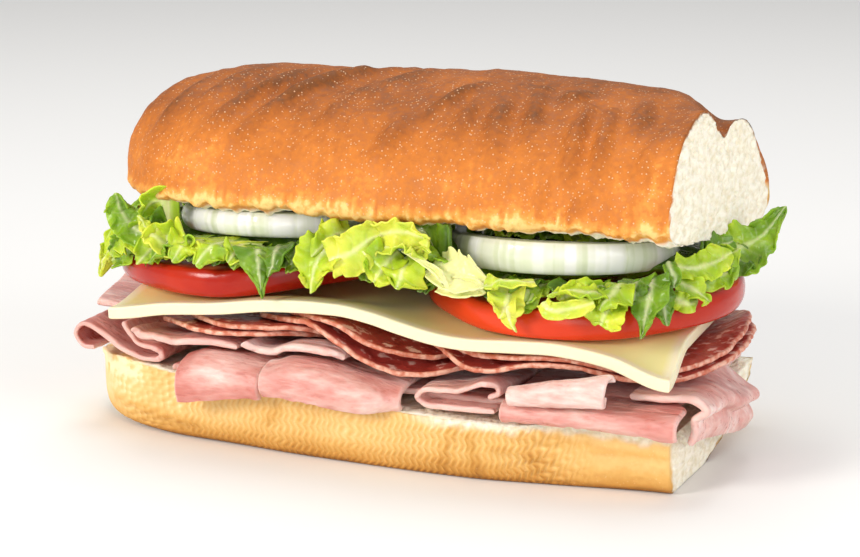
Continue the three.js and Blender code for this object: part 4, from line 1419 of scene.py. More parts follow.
@dataclass
class TomatoSlice:
    """A thick round slice: bulging skin, and on both faces a wall, radial ribs and seed chambers."""

    x: float
    y: float
    radius: float
    base: float
    tilt: Callable[[Array, Array], Array]
    warmth: Pairs
    seed: int
    chambers: int = 7
    around: int = 240

    def skin(self) -> Skin:
        """The slice as a profile turned round its axis, then lifted by the tilt.

        The profile runs from the middle of the lower face out, round the skin and back to the middle
        of the upper face. Chambers lie where the cosine of the angle times their number is high, from
        0.25 to 0.8 of the radius, and are sunk by 0.5 mm.
        """
        half = TOMATO / 2
        r_face = np.concatenate([np.linspace(0.02, 0.9, 40), [0.94, 0.97]]) * (self.radius - 1.2)
        bulge = np.radians(np.linspace(-80, 80, 26))
        r_skin = self.radius - 1.5 + 1.5 * np.cos(bulge)
        z_skin = half * np.sin(bulge) / np.sin(bulge[-1])
        r = np.concatenate([r_face, r_skin, r_face[::-1]])
        z = np.concatenate([np.full(len(r_face), -half), z_skin, np.full(len(r_face), half)])
        on_skin = np.concatenate([np.zeros(len(r_face)), np.ones(len(r_skin)), np.zeros(len(r_face))])
        side = np.sign(z)
        a = np.linspace(0, 2 * math.pi, self.around, endpoint=False)
        grid_r, grid_a = np.meshgrid(r, a, indexing="ij")
        lobes = 0.5 * np.cos(3 * grid_a + self.seed) + 0.35 * np.cos(5 * grid_a + 2.0 * self.seed)
        wide = grid_r * (1 + lobes / self.radius * grid_r / self.radius)
        flat = stacked(wide * np.cos(grid_a), wide * np.sin(grid_a), np.zeros_like(wide))
        share = grid_r / self.radius
        warp = 0.5 * noise(flat, 9, self.seed)
        rib = np.cos(self.chambers * grid_a + 3 * warp)
        gel = smooth(-0.1, 0.35, rib) * smooth(0.26, 0.34, share) * smooth(0.84, 0.76, share + 0.03 * warp)
        gel = gel * (1 - on_skin)[:, None]
        fibre = 0.5 + 0.5 * noise(stacked(grid_a * 26, share * 3, 0.0), 1.0, self.seed + 1)
        wall = smooth(0.95, 0.86, share) * smooth(0.7, 0.86, share)
        fibre = fibre * 0.55 * (1 - gel) * smooth(0.05, 0.3, share) + 0.35 * wall
        seeds = smooth(0.55, 0.75, noise(flat, (1.9, 1.9, 1.9), self.seed + 3)) * gel
        sunk = 0.5 * gel - 0.35 * seeds + 0.1 * cloud(flat, 3, self.seed + 5, 2)
        height = z[:, None] - side[:, None] * sunk * (1 - on_skin)[:, None]
        px, py = flat[..., 0] + self.x, flat[..., 1] + self.y
        points = stacked(px, py, height + half + self.base + self.tilt(px, py))
        values = {
            "skin": np.broadcast_to(on_skin[:, None], wide.shape),
            "gel": gel * (1 - 0.7 * seeds),
            "fibre": fibre,
            "warm": through(self.warmth, px),
        }
        ends = dict.fromkeys(values, (0.0, 0.0))
        return Skin.capped(points, values, points[0].mean(axis=0), points[-1].mean(axis=0), ends)

    def cleared(self, points: Array) -> Array:
        """The points, with those inside the slice moved up onto it, or out of its side near the rim."""
        x, y, z = points[:, 0], points[:, 1], points[:, 2]
        away = np.hypot(x - self.x, y - self.y)
        low = self.base + self.tilt(x, y)
        inside = (away < self.radius + 0.7) & (z < low + TOMATO + 0.4) & (z > low - 0.4)
        up = inside & ((away < self.radius - 2.5) | (z > low + TOMATO - 2.2))
        push = np.where(inside & ~up, (self.radius + 0.7) / np.maximum(away, 1e-6), 1.0)
        return stacked(
            self.x + (x - self.x) * push, self.y + (y - self.y) * push, np.where(up, low + TOMATO + 0.4, z),
        )


TOMATO_LEFT = TomatoSlice(
    -32.5, -3, 37.3, 35.95,
    lambda x, y: 4.6 * smooth(-34, 6, x) + 0.5 * smooth(-20, -38, y) - 2.2 * smooth(-63, -73, x),
    ((-60, 0.25), (-40, 0.35), (-10, 0.1)), 1,
)
TOMATO_RIGHT = TomatoSlice(
    46, -3, 36.6, 34.1,
    lambda x, y: 1.4 * smooth(60, 82, x) + smooth(34, 12, x) * (1.2 + 0.9 * smooth(-20, -38, y)),
    ((10, 0.75), (30, 1.0), (55, 0.8), (80, 0.35)), 4,
)


@dataclass
class OnionRing:
    """A ring cut from a white onion, with a slanted bulging wall that is lower at the back."""

    x: float
    y: float
    radius: float
    wall: float
    top: float
    slope: float
    height: float
    twist: float
    seed: int
    around: int = 420

    def skin(self) -> Skin:
        """The ring: a closed profile of outer wall, underside, inner wall and top carried round.

        Its top has height top - slope * radius * (1 + sin a) + 0.02 * radius * cos a at angle a, and
        the wall is height * (0.86 - 0.14 sin a) tall.
        """
        a = np.linspace(0, 2 * math.pi, self.around, endpoint=False)[:, None]
        out = self.radius * (1 + 0.035 * np.cos(2 * a + self.twist))
        high = self.top - self.slope * self.radius * (1 + np.sin(a)) + 0.02 * self.radius * np.cos(a)
        tall = self.height * (0.86 - 0.14 * np.sin(a))
        inset = np.array([1.0, 0.35, 0.0, 0.5, 1.3, 1.3 + self.wall * 0.35, self.wall + 0.5, self.wall,
                          self.wall + 0.2, self.wall + 0.9, 1 + self.wall * 0.5])
        drop = np.array([0.0, 0.18, 0.48, 0.82, 1.0, 1.02, 0.92, 0.6, 0.3, 0.06, 0.0])
        knots = len(inset)
        ring = stacked(np.concatenate([inset, inset[:1]]), np.concatenate([drop, drop[:1]]), 0.0)
        steps = np.linspace(0, 1, knots * 6, endpoint=False)
        profile = spline(ring, steps)
        r = out - profile[None, :, 0]
        z = high - profile[None, :, 1] * tall
        points = stacked(self.x + r * np.cos(a), self.y + r * np.sin(a), z)
        way = a * self.radius
        place = stacked(way + 0 * r, 0 * r, 0 * r + self.seed)
        lines = smooth(0.0, 0.4, noise(place, 1.1, self.seed) + 0.4 * noise(place, 0.45, self.seed + 1))
        broad = noise(place, 2.3, self.seed + 2) + 0.25 * noise(place, 0.8, self.seed + 3)
        broad = smooth(-0.15, 0.25, broad)
        stripe = np.clip(0.3 * lines + 0.65 * broad, 0, 1)
        outer = profile[None, :, 0] < 2.2
        groove = 0.07 * (lines - 0.4) * outer
        points = points - stacked(np.cos(a), np.sin(a), 0.0) * groove[..., None]
        upper = smooth(0.14, 0.02, profile[None, :, 1]) * smooth(0.5, 1.6, profile[None, :, 0]) + 0 * r
        quads = grid_quads(self.around, points.shape[1], True)
        last = (self.around - 1) * points.shape[1] + np.arange(points.shape[1])
        first = np.arange(points.shape[1])
        seam = np.stack([last, first, np.roll(first, -1), np.roll(last, -1)], axis=-1)
        values = {"stripe": (stripe * (1 - 0.5 * upper)).reshape(-1), "layer": (0.6 * upper).reshape(-1)}
        return Skin(points.reshape(-1, 3), np.concatenate([quads, seam]), values=values).facing_out()

    def cleared(self, points: Array) -> Array:
        """The points, with those inside or in front of the ring's wall pressed down to just below it."""
        x, y, z = points[:, 0], points[:, 1], points[:, 2]
        away = np.hypot(x - self.x, y - self.y)
        slant = (y - self.y) / np.maximum(away, 1e-6)
        turn = (x - self.x) / np.maximum(away, 1e-6)
        high = self.top - self.slope * self.radius * (1 + slant) + 0.02 * self.radius * turn
        low = high - self.height * (0.86 - 0.14 * slant) - 2.4
        pressed = low + 2.0 * (1 - np.exp(-np.clip(z - low, 0, None) / 2.0))
        outside = smooth(self.radius + 7, self.radius + 4, away)
        share = outside * smooth(self.wall + 6, self.wall + 3, self.radius - away)
        return stacked(x, y, np.where((z > low) & (z < high + 2), mix(z, pressed, share), z))


ONION_LEFT = OnionRing(-25.6, -12, 24.8, 3.4, 56.1, 0.105, 5.6, 0.4, 401)
ONION_RIGHT = OnionRing(42.4, -9.6, 27.4, 3.6, 54.8, 0.115, 7.0, 2.2, 411)


class LeafTone(Enum):
    """How pale a leaf is, and how much of the rib's colour it has all over."""

    DARK = (0.2, 0.0)
    GREEN = (0.44, 0.0)
    BRIGHT = (0.68, 0.0)
    HEART = (0.88, 0.05)
    PALE = (0.98, 0.6)


DARK, GREEN, BRIGHT, HEART, PALE = LeafTone


@dataclass(frozen=True)
class Leaf:
    """A torn piece of ruffled leaf.

    Its middle line runs through the path's points from root to tip. Across, it lies square to the
    middle line and to the way it faces, turned round the line and bent round it by the cup angle.
    Its margin waves along the leaf, more so the further it is from the rib. Its rows are a step apart.
    """

    path: tuple[tuple[float, float, float], ...]
    half: tuple[float, float, float]
    turn: float
    ruffle: float
    cup: float
    tone: LeafTone
    facing: float = 12.0
    seed: int = 0
    step: float = 0.34

    @classmethod
    def spray(
        cls, root: tuple[float, float, float], heading: float, length: float, width: float, rise: float,
        fall: float, ruffle: float, tone: LeafTone,
    ) -> Leaf:
        """A leaf that grows out of the heap at a heading in degrees and bends from one slope to another.

        Args:
            root: where it starts.
            heading: its direction seen from above.
            length: of its middle line in millimetres.
            width: half its width in millimetres.
            rise: slope at the root in degrees.
            fall: slope at the tip in degrees.
            ruffle: height of its waves in millimetres.
            tone: how pale it is.

        Returns:
            The leaf, facing out and up.
        """
        slope = np.radians(np.linspace(rise, fall, 3))
        way = math.radians(heading)
        reach = np.concatenate([[0], np.cumsum(np.cos(slope))]) * length / 3
        climb = np.concatenate([[0], np.cumsum(np.sin(slope))]) * length / 3
        ahead = np.array([math.cos(way), math.sin(way)])
        path = tuple((*(root[:2] + r * ahead), root[2] + c) for r, c in zip(reach, climb))
        return cls(path, (width * 0.7, width, width * 0.55), 0.0, ruffle, 20.0, tone, heading + 90)

    def skin(self) -> Skin:
        """The leaf as a thin closed sheet."""
        knots = np.array(self.path)
        length = float(np.linalg.norm(np.diff(knots, axis=0), axis=1).sum())
        wide = float(max(self.half))
        azimuth, lift = math.radians(self.facing), math.radians(28)
        level = math.cos(lift)
        faces = np.array([math.sin(azimuth) * level, -math.cos(azimuth) * level, math.sin(lift)])
        phases = np.random.default_rng(self.seed).uniform(0, 2 * math.pi, 4)

        def surface(u: Array, v: Array) -> Array:
            """The middle surface: path, torn outline, cup, ruffles, blisters and raised rib."""
            line = spline(knots, u[:, 0])[:, None, :] + 0 * v[..., None]
            ahead = unit(np.gradient(line, axis=0))
            side = unit(np.cross(ahead, faces))
            face = np.cross(side, ahead)
            angle = math.radians(self.turn) * mix(0.6, 1.2, u)[..., None]
            c, s = np.cos(angle), np.sin(angle)
            side, face = side * c + face * s, face * c - side * s
            w = 2 * v - 1
            flank = stacked(u * length, 9.0 * np.sign(w), self.seed * 7.0)
            ragged = 1 + 0.2 * noise(flank, 3.4, self.seed) + 0.1 * noise(flank, 1.0, self.seed + 1)
            profile = ((0.0, self.half[0]), (0.45, self.half[1]), (1.0, self.half[2]))
            half = through(profile, u) * ragged * np.sqrt(np.clip(1 - smooth(0.8, 1.0, u) * 0.45, 0, 1))
            bend = math.radians(self.cup) + 1e-3
            across = half * np.sin(bend * w) / bend
            cupped = half * (1 - np.cos(bend * w)) / abs(bend) * math.copysign(1, bend)
            margin = np.abs(w) ** 1.7
            sway = noise(flank, 5.0, self.seed + 2)
            large = 2 * math.pi * (u * length / 5.0 + 0.45 * sway) + phases[0] + 2 * np.sign(w)
            small = 2 * math.pi * (u * length / 2.1 + 0.4 * sway) + phases[1] * np.sign(w)
            spot = stacked(u * length, w * wide, self.seed * 3.0)
            veins = np.exp(-((((u * length / 3.6 - np.abs(w) * 0.9) % 1 - 0.5) / 0.13) ** 2)) * (1 - margin)
            blister = 0.5 * noise(spot, 2.3, self.seed + 4) + 0.2 * noise(spot, 1.0, self.seed + 5)
            blister = blister - 0.2 * veins
            rib = 0.2 * np.exp(-((w * wide / 0.5) ** 2)) * (1 - 0.6 * u)
            waves = 0.95 * (np.sin(large) * margin) + 0.32 * (np.sin(small) * margin**1.6)
            height = cupped + self.ruffle * waves + blister + rib
            torn = 0.8 * noise(stacked(w * wide, 0.0, self.seed * 5.0), 1.7, self.seed + 6)
            torn = torn * smooth(0.6, 1, u)
            pull = torn - 0.16 * length * u**2 * np.abs(w) ** 2.2
            return line + side * across[..., None] + face * height[..., None] + ahead * pull[..., None]

        def paint(points: Array, u: Array, v: Array, side: float) -> dict[str, Array]:
            """Paleness, higher at the margin as painted light through the thin edge, and the rib with its
            slanted side veins.
            """
            w = 2 * v - 1
            middle = np.exp(-((w * wide / mix(0.75, 0.3, u)) ** 2))
            branch = (u * length / 3.6 - np.abs(w) * 0.9) % 1
            veins = np.exp(-(((branch - 0.5) / 0.07) ** 2)) * (1 - np.abs(w)) * 0.4
            pale, all_over = self.tone.value
            # Paler towards the margin: painted light for the light that shines through the thin edge.
            tone = pale + 0.1 * np.abs(w) ** 2 + 0.16 * noise(points, 4.5, self.seed + 8)
            return {"tone": tone, "rib": np.clip(np.maximum(all_over, 0.45 * middle + 0.4 * veins), 0, 1)}

        counts = (max(int(length / self.step), 16), max(int(2 * wide / self.step), 12))
        return slab(surface, LEAF, counts, (length, 2 * wide), None, paint)


# The leaves along the front from left to right: the path from root to tip, half the width at root,
# middle and tip, the turn and cup in degrees on both sides of the ruffle's height, and the tone.
FRONT_LEAVES = (
    (((-46.1, -35.3, 48.1), (-54.7, -33.9, 50), (-58.1, -33.7, 53.5), (-58.1, -36.3, 58.5)),
     (3.5, 4.6, 3.4), 0, 1.0, 20, GREEN),
    (((-46.9, -33.8, 46.5), (-57.4, -32.3, 48.6), (-66.9, -25.2, 42.1), (-70, -24.6, 35.2)),
     (4.2, 5.0, 1.4), -20, 1.3, -25, BRIGHT),
    (((-46, -33.1, 44.8), (-53.7, -33.3, 47.1), (-60.2, -30.4, 43.2), (-67.3, -22.8, 38.7)),
     (4.5, 4.5, 2.5), 25, 1.3, 30, GREEN),
    (((-43.7, -32.9, 56.1), (-47.5, -34.6, 57.3), (-51.1, -34.4, 55.6), (-52.5, -35.3, 53.3)),
     (4.4, 4.6, 3.6), 70, 0.8, 35, BRIGHT),
    (((-41.3, -31.6, 49.3), (-45.1, -33.5, 53), (-47.7, -34.5, 50.6), (-49.9, -34.5, 48.6)),
     (4, 4, 2.5), 40, 1.1, 20, DARK),
    (((-41.3, -37.9, 46.6), (-45.8, -39.1, 48.8), (-49, -38.8, 51.3), (-51.7, -38.1, 54.1)),
     (3.2, 3.0, 0.9), -30, 0.7, 25, HEART),
    (((-38.9, -36.4, 50.7), (-44.6, -38, 48.7), (-48.9, -38.4, 45.6), (-51.8, -38, 42.7)),
     (4.6, 4.4, 2.8), 35, 1.3, 25, BRIGHT),
    (((-31.4, -35, 49.3), (-35.6, -37.9, 51.2), (-38.9, -40.4, 48.2), (-40.7, -42.1, 44.7)),
     (5.0, 5.0, 3.2), 10, 1.5, 20, BRIGHT),
    (((-26.8, -35, 49.3), (-29.4, -39, 51), (-31.7, -41.9, 48.1), (-33.8, -43.5, 44.5)),
     (4.8, 4.8, 3.2), -15, 1.4, -20, BRIGHT),
    (((-35.8, -34.8, 49.3), (-38.3, -37.5, 51.9), (-44, -39.2, 47.8), (-47.5, -40.1, 43.7)),
     (4.6, 4.2, 2.6), -35, 1.3, 20, GREEN),
    (((-20.7, -36, 49.3), (-24.1, -38.9, 50.5), (-24.6, -41.9, 48.2), (-25.8, -43.2, 46.1)),
     (4.2, 4.2, 2.4), 25, 1.3, 25, BRIGHT),
    (((-20.2, -37, 49.3), (-19.3, -41, 48.9), (-18.2, -43, 44.3), (-17, -43.9, 38.4)),
     (4.4, 5.4, 0.8), 20, 0.8, -30, DARK),
    (((-16.7, -35, 49.3), (-15.5, -39, 49.8), (-14.9, -42, 46.7), (-15.9, -43, 43.6)),
     (4.4, 4.8, 2.2), -20, 1.0, 25, DARK),
    (((-14.6, -33, 49.3), (-11.7, -36.9, 50.1), (-11.3, -39, 47.3), (-11.9, -40, 45.6)),
     (4.4, 4.4, 3.0), 0, 1.0, 15, DARK),
    (((-31.1, -34, 49.3), (-26.8, -37, 49.3), (-24.4, -40, 47.9), (-22.9, -41, 45.9)),
     (3.5, 3.8, 2.0), 15, 0.9, 15, DARK),
    (((-1.7, -36, 53), (-2.9, -41, 50.2), (-4.3, -43.5, 46), (-4.6, -44, 41.1)),
     (4.2, 5.8, 3.0), -10, 1.2, 35, BRIGHT),
    (((1.2, -35, 53.5), (-1.1, -39, 53.2), (-3.2, -41.5, 51.2), (-5.2, -42.5, 49)),
     (3.4, 4.0, 2.6), 35, 1.3, -25, BRIGHT),
    (((-0.4, -43.4, 48.2), (4.8, -43, 50.8), (8.7, -40.9, 53.8), (12.7, -38.9, 55.1)),
     (4.6, 4.8, 3.6), -25, 1.3, 30, HEART),
    (((10.3, -40, 54.7), (16.9, -41.4, 55.9), (22.2, -43, 54.8), (24, -44.4, 52.6)),
     (3.4, 3.2, 2.2), -60, 1.2, 40, HEART),
    (((11.4, -39.9, 51.6), (15.5, -40.9, 52.6), (19.5, -42, 51.7), (22.2, -43.5, 50.5)),
     (3.0, 2.6, 1.8), 50, 1.0, 30, HEART),
    (((13.7, -38, 50.5), (12.5, -42, 48.5), (11.2, -43.4, 46), (10.2, -44.5, 44.3)),
     (4.2, 5.0, 3.4), 10, 1.7, 30, BRIGHT),
    (((15.4, -38, 49.3), (17.3, -43, 48.2), (16.9, -44.5, 45.7), (16.4, -45.4, 44.1)),
     (4.2, 5.0, 3.8), -15, 1.7, -30, BRIGHT),
    (((16, -40, 51.5), (21.5, -43, 49.9), (26.1, -45, 48), (28.7, -45.4, 45.1)),
     (0.9, 1.0, 1.5), 0, 0.1, 100, PALE),
    (((16.9, -33, 53.4), (23, -36, 52.2), (26.6, -38, 50.6), (30.3, -38.9, 49.8)),
     (3.8, 4.4, 3.0), 20, 1.0, 20, GREEN),
    (((11.2, -30.9, 54.9), (18.5, -34, 54.6), (24.1, -36, 53.6), (28.1, -37, 52.3)),
     (4.0, 4.2, 3.4), -25, 1.0, 20, DARK),
    (((23.2, -38.9, 49.2), (28.2, -42, 48), (32.3, -42.9, 47.2), (37, -42.9, 46.7)),
     (4.2, 5.2, 3.6), 0, 0.5, 50, PALE),
    (((25, -41, 44.8), (29.8, -42.5, 44.9), (34, -43.5, 45.2), (36.6, -43, 44.9)),
     (2.4, 3.0, 2.2), -20, 0.4, 60, PALE),
    (((46.7, -40, 48.2), (42.9, -42, 47.8), (39.3, -42.9, 46.9), (36.3, -43.5, 45.4)),
     (2.6, 3.2, 2.2), -20, 0.7, 40, HEART),
    (((40.7, -38, 45.1), (41.3, -42, 43.3), (41, -43.5, 40.9), (40.4, -44.5, 39.3)),
     (3.6, 4.6, 2.6), 10, 1.3, 25, HEART),
    (((40.8, -42, 42.8), (41.9, -43.5, 40.1), (43, -44, 37.9), (44.1, -44.5, 36.7)),
     (2.6, 1.8, 0.7), -15, 0.5, 20, HEART),
    (((44.1, -35.9, 45.4), (44.3, -39, 43.8), (43.7, -41, 41.5), (43, -41.5, 40.2)),
     (3.8, 4.0, 2.6), 10, 0.9, 20, GREEN),
    (((62.9, -35.8, 44.3), (59.5, -40.6, 45.4), (54.9, -43, 46), (51.3, -44.1, 44.6)),
     (2.6, 2.6, 2.0), -50, 0.7, 30, BRIGHT),
    (((50, -43.8, 43.5), (51.9, -44.6, 42.1), (56.5, -43.6, 42.7), (61.2, -41.6, 44)),
     (1.8, 2.2, 2.2), -20, 0.6, 40, HEART),
    (((60.7, -34.8, 46.1), (57.9, -39, 45.9), (54.8, -41.5, 44.8), (52.5, -42.4, 43.5)),
     (2.6, 3.2, 2.2), 30, 0.9, 25, BRIGHT),
    (((63, -35.8, 43.4), (62.8, -39.3, 41.5), (62.3, -40.6, 39.5), (61.9, -40.8, 38.2)),
     (4.0, 5.4, 4.6), 5, 0.9, 25, BRIGHT),
    (((64.2, -32.9, 47.3), (63.9, -37.6, 45.6), (62.9, -39.8, 43.8), (61.9, -40.8, 42.2)),
     (3.4, 4.2, 2.6), -20, 1.2, -20, BRIGHT),
    (((52.8, -34.2, 45.4), (52.6, -36.3, 45.3), (52.4, -38.4, 43.9), (52.3, -39.4, 43.3)),
     (4.0, 4.0, 3.0), 10, 0.8, 15, DARK),
    (((58.2, -32.6, 45.4), (58.3, -35.8, 46.1), (58.4, -37.3, 44.7), (58.4, -38.4, 43.6)),
     (4.0, 4.0, 3.0), -10, 0.8, 15, GREEN),
    (((70, -29.8, 48.1), (70.8, -33.7, 44.5), (70.5, -35.9, 40.1), (70.1, -36.8, 35.8)),
     (4.0, 4.4, 0.8), -15, 0.8, 25, DARK),
    (((71.4, -28.5, 47), (72.6, -31.5, 44.2), (73.7, -32.5, 41), (74.6, -33.1, 38.1)),
     (3.4, 3.8, 1.6), 20, 0.9, -25, DARK),
    (((66.9, -28.5, 48.4), (67.1, -32.2, 47), (67.4, -34.4, 45.2), (67.6, -35.5, 43.7)),
     (3.6, 4.0, 2.4), 0, 0.9, 20, DARK),
    (((73.8, -24.3, 45.9), (77.1, -24.8, 45), (79.6, -23.8, 43.2), (81.1, -22.1, 41.4)),
     (2.6, 3.4, 2.0), 30, 1.1, 45, BRIGHT),
    (((73.8, -27.4, 43.4), (76.2, -27.6, 42.4), (77.7, -26.5, 41.8), (78.6, -23.5, 42.1)),
     (2.0, 2.4, 1.8), -30, 1.0, -40, BRIGHT),
    (((72.4, -26, 50.6), (73.6, -27.6, 49.3), (74.6, -28, 47.6), (74.8, -29.2, 46.1)),
     (1.4, 1.8, 1.2), 0, 0.5, 30, DARK),
    (((73.7, -24.4, 49.1), (77.5, -20.4, 48.6), (80.4, -16.5, 49.4), (82.9, -12.2, 51)),
     (2.8, 3.6, 3.6), 0, 0.9, 25, BRIGHT),
    (((75.6, -12.1, 45), (78.9, -11.6, 47.4), (81.3, -9.9, 49.1), (83.4, -9.5, 51)),
     (3.8, 4.6, 3.6), 15, 1.0, 20, GREEN),
    (((76.1, -18.7, 48.1), (79.5, -16.1, 46.5), (81.7, -12.6, 46), (83.3, -10.2, 47.5)),
     (3.4, 3.8, 2.4), 20, 1.1, -20, GREEN),
    (((71, 2, 45), (77, 6, 47), (83, 12, 50.1), (87, 18, 56.3)),
     (4.6, 6.6, 2.6), -5, 0.8, 30, GREEN),
    (((72, 0, 45.5), (78, 4, 45.2), (81, 8, 45.8), (84, 12, 47.6)),
     (4.0, 4.6, 2.6), 10, 1.0, 20, DARK),
    (((73, -10, 49.8), (76, -8, 50), (78, -4, 50.2), (80, 0, 51.2)),
     (3.6, 4.0, 3.0), -10, 0.9, 20, DARK),
)


@dataclass
class LettuceHeap:
    """A low heap of torn leaves between tomato and bread: a crumpled core with leaves that stand out."""

    def core(self) -> Skin:
        """The core: a flattened oval with crumpled sides, its top leaning with the bread."""
        a = np.linspace(0, 2 * math.pi, 260, endpoint=False)[None, :]
        b = np.linspace(-0.94, 0.94, 40)[:, None] * math.pi / 2
        c, s = np.cos(a), np.sin(a)
        scale = np.cos(b) ** 0.35
        x = 6 + 68 * scale * np.sign(c) * np.abs(c) ** 0.55
        y = 2 + 32 * scale * np.sign(s) * np.abs(s) ** 0.7
        low = through(((0, 43.6), (30, 42.5)), x)
        z = mix(low, 49.8 - 0.135 * y, 0.5 + 0.5 * np.sin(b))
        points = stacked(x, y, z + 0 * x)
        crumple = 1.2 * noise(points, (4, 4, 2.2), 501) + 0.6 * noise(points, (1.8, 1.8, 1.2), 502)
        spread = unit(stacked(x - 6, (y - 2) * 1.5, 0 * z))
        points = points + spread * (crumple * np.cos(b))[..., None]
        tone = 0.12 + 0.12 * noise(points, 3, 505)
        values = {"edge": 0 * tone, "rib": 0 * tone, "tone": tone}
        ends = {"edge": (0.0, 0.0), "rib": (0.0, 0.0), "tone": (0.1, 0.1)}
        return Skin.capped(points, values, points[0].mean(axis=0), points[-1].mean(axis=0), ends)

    def front(self) -> list[Leaf]:
        """The leaves along the front, from left to right."""
        return [Leaf(*row) for row in FRONT_LEAVES]

    def ends_and_back(self) -> list[Leaf]:
        """The leaves at both ends and along the back."""
        rows = [
            ((-54, -8, 49), 184, 20, 5.5, 8, -15, 1.3, GREEN),
            ((-52, -2, 51), 172, 20, 5, 16, 8, 1.2, BRIGHT),
            ((-54, 6, 48), 162, 19, 5.5, 6, -30, 1.4, GREEN),
            ((-50, 13, 49), 148, 18, 5, 10, 0, 1.2, BRIGHT),
            ((-54, 0, 46), 178, 20, 5.5, -4, -40, 1.4, DARK),
            ((-50, 17, 46), 135, 19, 5.5, 0, -40, 1.4, GREEN),
            ((66, -6, 47), 350, 16, 5, 4, -15, 1.2, DARK),
            ((66, 14, 45), 30, 16, 5.5, 2, -30, 1.4, GREEN),
            ((64, 22, 45), 52, 15, 5, 2, -20, 1.3, BRIGHT),
        ]
        rng = np.random.default_rng(83)
        for x in np.arange(-44, 62, 5.2):
            shade = (GREEN, BRIGHT, DARK, GREEN, HEART)[int(rng.integers(0, 5))]
            root = (x + rng.uniform(-2, 2), 25 + rng.uniform(-1.5, 1), 44.5 + rng.uniform(-0.8, 1.2))
            rows.append((
                root, rng.uniform(60, 120), rng.uniform(11, 18), rng.uniform(3.8, 6.4), rng.uniform(-6, 6),
                rng.uniform(-70, 5), rng.uniform(1.1, 1.6), shade,
            ))
        return [Leaf.spray(*row) for row in rows]

    def fillers(self) -> list[Leaf]:
        """Short dark leaves just inside the front outline that close the gaps."""
        rng = np.random.default_rng(71)
        made = []
        for x in np.arange(-52, 74, 4.2):
            edge = -3 - math.sqrt(max(37.0**2 - max(-32.5 - x, x - 46, 0) ** 2, 0))
            high = 48.6 if x < 4 else 46.4
            root = (x + rng.uniform(-2, 2), edge + 9, high - rng.uniform(0.4, 2))
            shade = (DARK, GREEN)[int(rng.integers(0, 2))]
            made.append(Leaf.spray(root, rng.uniform(245, 295), rng.uniform(8, 11), 4.0, -4, -28, 1.0, shade))
        for k, x in enumerate(np.arange(22, 66, 5.5)):
            shade = (GREEN, DARK, BRIGHT)[k % 3]
            made.append(Leaf.spray((x, -16, 52.3), 262 + 9 * (k % 3), 10, 4.5, 14, 0, 1.1, shade))
        return made

    def skins(self) -> dict[str, Skin]:
        """Core and leaves as five pieces, the leaves clear of tomato and onion."""
        front = [replace(leaf, seed=520 + k) for k, leaf in enumerate(self.front())]
        around = [replace(leaf, seed=640 + k, step=0.5) for k, leaf in enumerate(self.ends_and_back())]
        inner = [replace(leaf, seed=720 + k, step=0.5) for k, leaf in enumerate(self.fillers())]
        half = len(front) // 2
        made = {"core": self.core()}
        groups = {"front_left": front[:half], "front_right": front[half:], "around": around, "inner": inner}
        for name, leaves in groups.items():
            whole = Skin.joined([leaf.skin() for leaf in leaves])
            for neighbour in (TOMATO_LEFT, TOMATO_RIGHT, ONION_LEFT, ONION_RIGHT):
                whole.points = neighbour.cleared(whole.points)
            made[name] = whole
        return made


@dataclass
class Studio:
    """Camera at the photograph's angle, pale floor and soft lights, in metres."""

    place: Place
    floor: str = "#F1F0EE"

    def camera(self) -> None:
        """The camera, aimed at a point in the loaf's axes."""
        target = Vector(self.place.to_frame(np.array(CAMERA_TARGET)))
        azimuth, elevation = math.radians(CAMERA_AZIMUTH), math.radians(CAMERA_ELEVATION)
        level = math.cos(elevation)
        back = Vector((math.sin(azimuth) * level, -math.cos(azimuth) * level, math.sin(elevation)))
        data = bpy.data.cameras.new("camera")
        data.lens = CAMERA_LENS
        data.sensor_width = SENSOR_WIDTH
        camera = linked("camera", data)
        camera.location = target + back * CAMERA_DISTANCE * MM
        aim(camera, -back)
        bpy.context.scene.camera = camera

    def lamp(
        self, name: str, place: tuple[float, float, float], size: float, watts: float, colour: str
    ) -> None:
        """A square area light at that place, aimed at the middle of the sandwich."""
        data = bpy.data.lights.new(name, "AREA")
        data.size = size
        data.energy = watts
        data.color = linear(colour)[:3]
        lamp = linked(name, data)
        lamp.location = place
        aim(lamp, Vector((0, 0, 0.04)) - Vector(place))

    def build(self) -> None:
        """Camera, floor, lights and an even pale surround."""
        self.camera()
        half = 6.0
        mesh = bpy.data.meshes.new("floor")
        square = [(-half, -half, 0), (half, -half, 0), (half, half, 0), (-half, half, 0)]
        mesh.from_pydata(square, [], [(0, 1, 2, 3)])
        material = bpy.data.materials.new("pale_floor")
        material.use_nodes = True
        shader = material.node_tree.nodes["Principled BSDF"]
        shader.inputs["Base Color"].default_value = linear(self.floor)
        shader.inputs["Roughness"].default_value = 0.8
        mesh.materials.append(material)
        floor = linked("floor", mesh)
        floor.location.z = -FLOOR_DROP
        floor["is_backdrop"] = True
        self.lamp("key", (-0.55, -0.95, 0.5), 0.34, 8.6, "#FFFBF4")
        self.lamp("fill", (1.0, -0.4, 0.45), 0.6, 5.0, "#FAFBFF")
        self.lamp("top", (-0.1, 0.25, 1.0), 0.6, 4.0, "#FFFFFF")
        self.lamp("front", (0.3, -1.1, 0.12), 0.5, 2.2, "#FFFFFF")
        world = bpy.data.worlds.new("surround")
        world.use_nodes = True
        world.node_tree.nodes["Background"].inputs["Color"].default_value = linear("#F4F4F4")
        world.node_tree.nodes["Background"].inputs["Strength"].default_value = 0.58
        bpy.context.scene.world = world
        bpy.context.scene.view_settings.view_transform = "Standard"


def corners() -> list[list[float]]:
    """The lowest and highest corner of what is shown, as plain lists."""
    return [list(corner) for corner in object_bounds()]


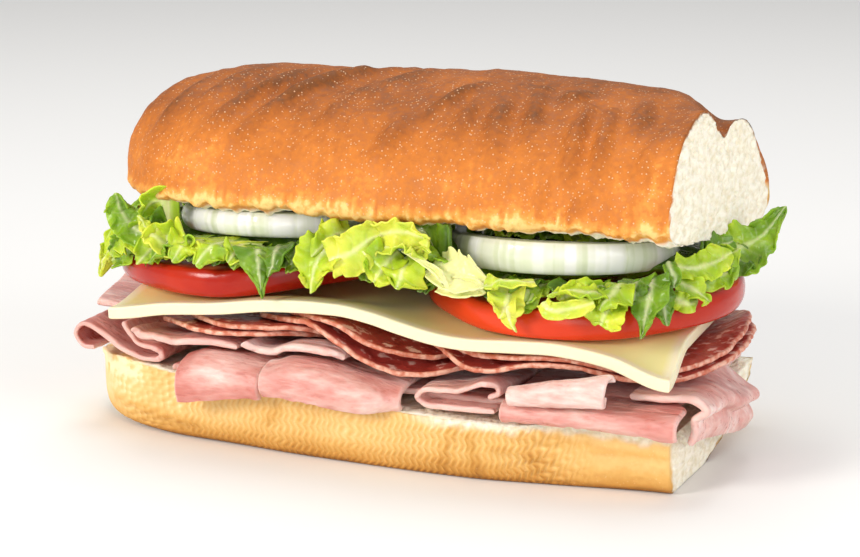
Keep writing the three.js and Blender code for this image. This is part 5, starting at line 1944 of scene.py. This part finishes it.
def main() -> None:
    """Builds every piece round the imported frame."""
    logging.basicConfig(level=logging.INFO, format="%(name)s: %(message)s")
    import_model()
    place = Place.from_frame()
    bench = Bench(place)
    Studio(place).build()

    crust = Bread(name="baked_wheat_crust", subsurface=0.08, scatter_mm=(1.2, 0.6, 0.3)).material()
    golden = Bread(
        name="baked_golden_crust", subsurface=0.1, scatter_mm=(1.2, 0.7, 0.35),
        crust_stops=(
            (0.0, "#F9E4B8"), (0.18, "#EECA88"), (0.38, "#DFAF63"), (0.6, "#C78E40"), (0.82, "#A66E29"),
            (1.0, "#7C4A18"),
        ),
        speckle="#FFF0C8", speckle_amount=0.12, mottle=0.03,
    ).material()
    bench.piece("top_bun", TopBun().skin(), crust, "bun_top")
    bench.piece("bottom_bun", BottomBun().skin(), golden, "bun_bottom")

    ham = CuredHam(name="cooked_ham", subsurface=0.25, scatter_mm=(2.5, 0.9, 0.6), ior=1.42).material()
    for node, skin in HamSlices().skins().items():
        bench.piece(f"slice_{node}", skin, ham, node)

    salami = CuredSalami(name="cured_salami", subsurface=0.1, scatter_mm=(1.2, 0.4, 0.3), ior=1.45).material()
    for k, part in enumerate(SALAMI_SLICES, 1):
        bench.piece(f"slice_salami_{k}", part.skin(), salami, f"salami_{k}")

    cheese = MildCheese(
        name="mild_cheese", roughness=0.38, subsurface=0.3, scatter_mm=(3.0, 2.0, 0.9),
    ).material()
    bench.piece("slice_cheese", CheeseSlice().skin(), cheese, "cheese")

    tomato = RipeTomato(name="ripe_tomato", subsurface=0.15, scatter_mm=(2.5, 0.6, 0.3), ior=1.36).material()
    bench.piece("slice_tomato_left", TOMATO_LEFT.skin(), tomato, "tomato_left")
    bench.piece("slice_tomato_right", TOMATO_RIGHT.skin(), tomato, "tomato_right")

    onion = WhiteOnion(
        name="raw_white_onion", roughness=0.2, subsurface=0.7, scatter_mm=(6.0, 6.0, 4.5), coat=0.4,
    ).material()
    bench.piece("ring_onion_left", ONION_LEFT.skin(), onion, "onion_left")
    bench.piece("ring_onion_right", ONION_RIGHT.skin(), onion, "onion_right")

    lettuce = FreshLettuce(name="green_leaf_lettuce", subsurface=0.3, scatter_mm=(1.0, 1.8, 0.3)).material()
    for name, skin in LettuceHeap().skins().items():
        bench.piece(f"lettuce_{name}", skin, lettuce, "lettuce")


if __name__ == "__main__":
    main()
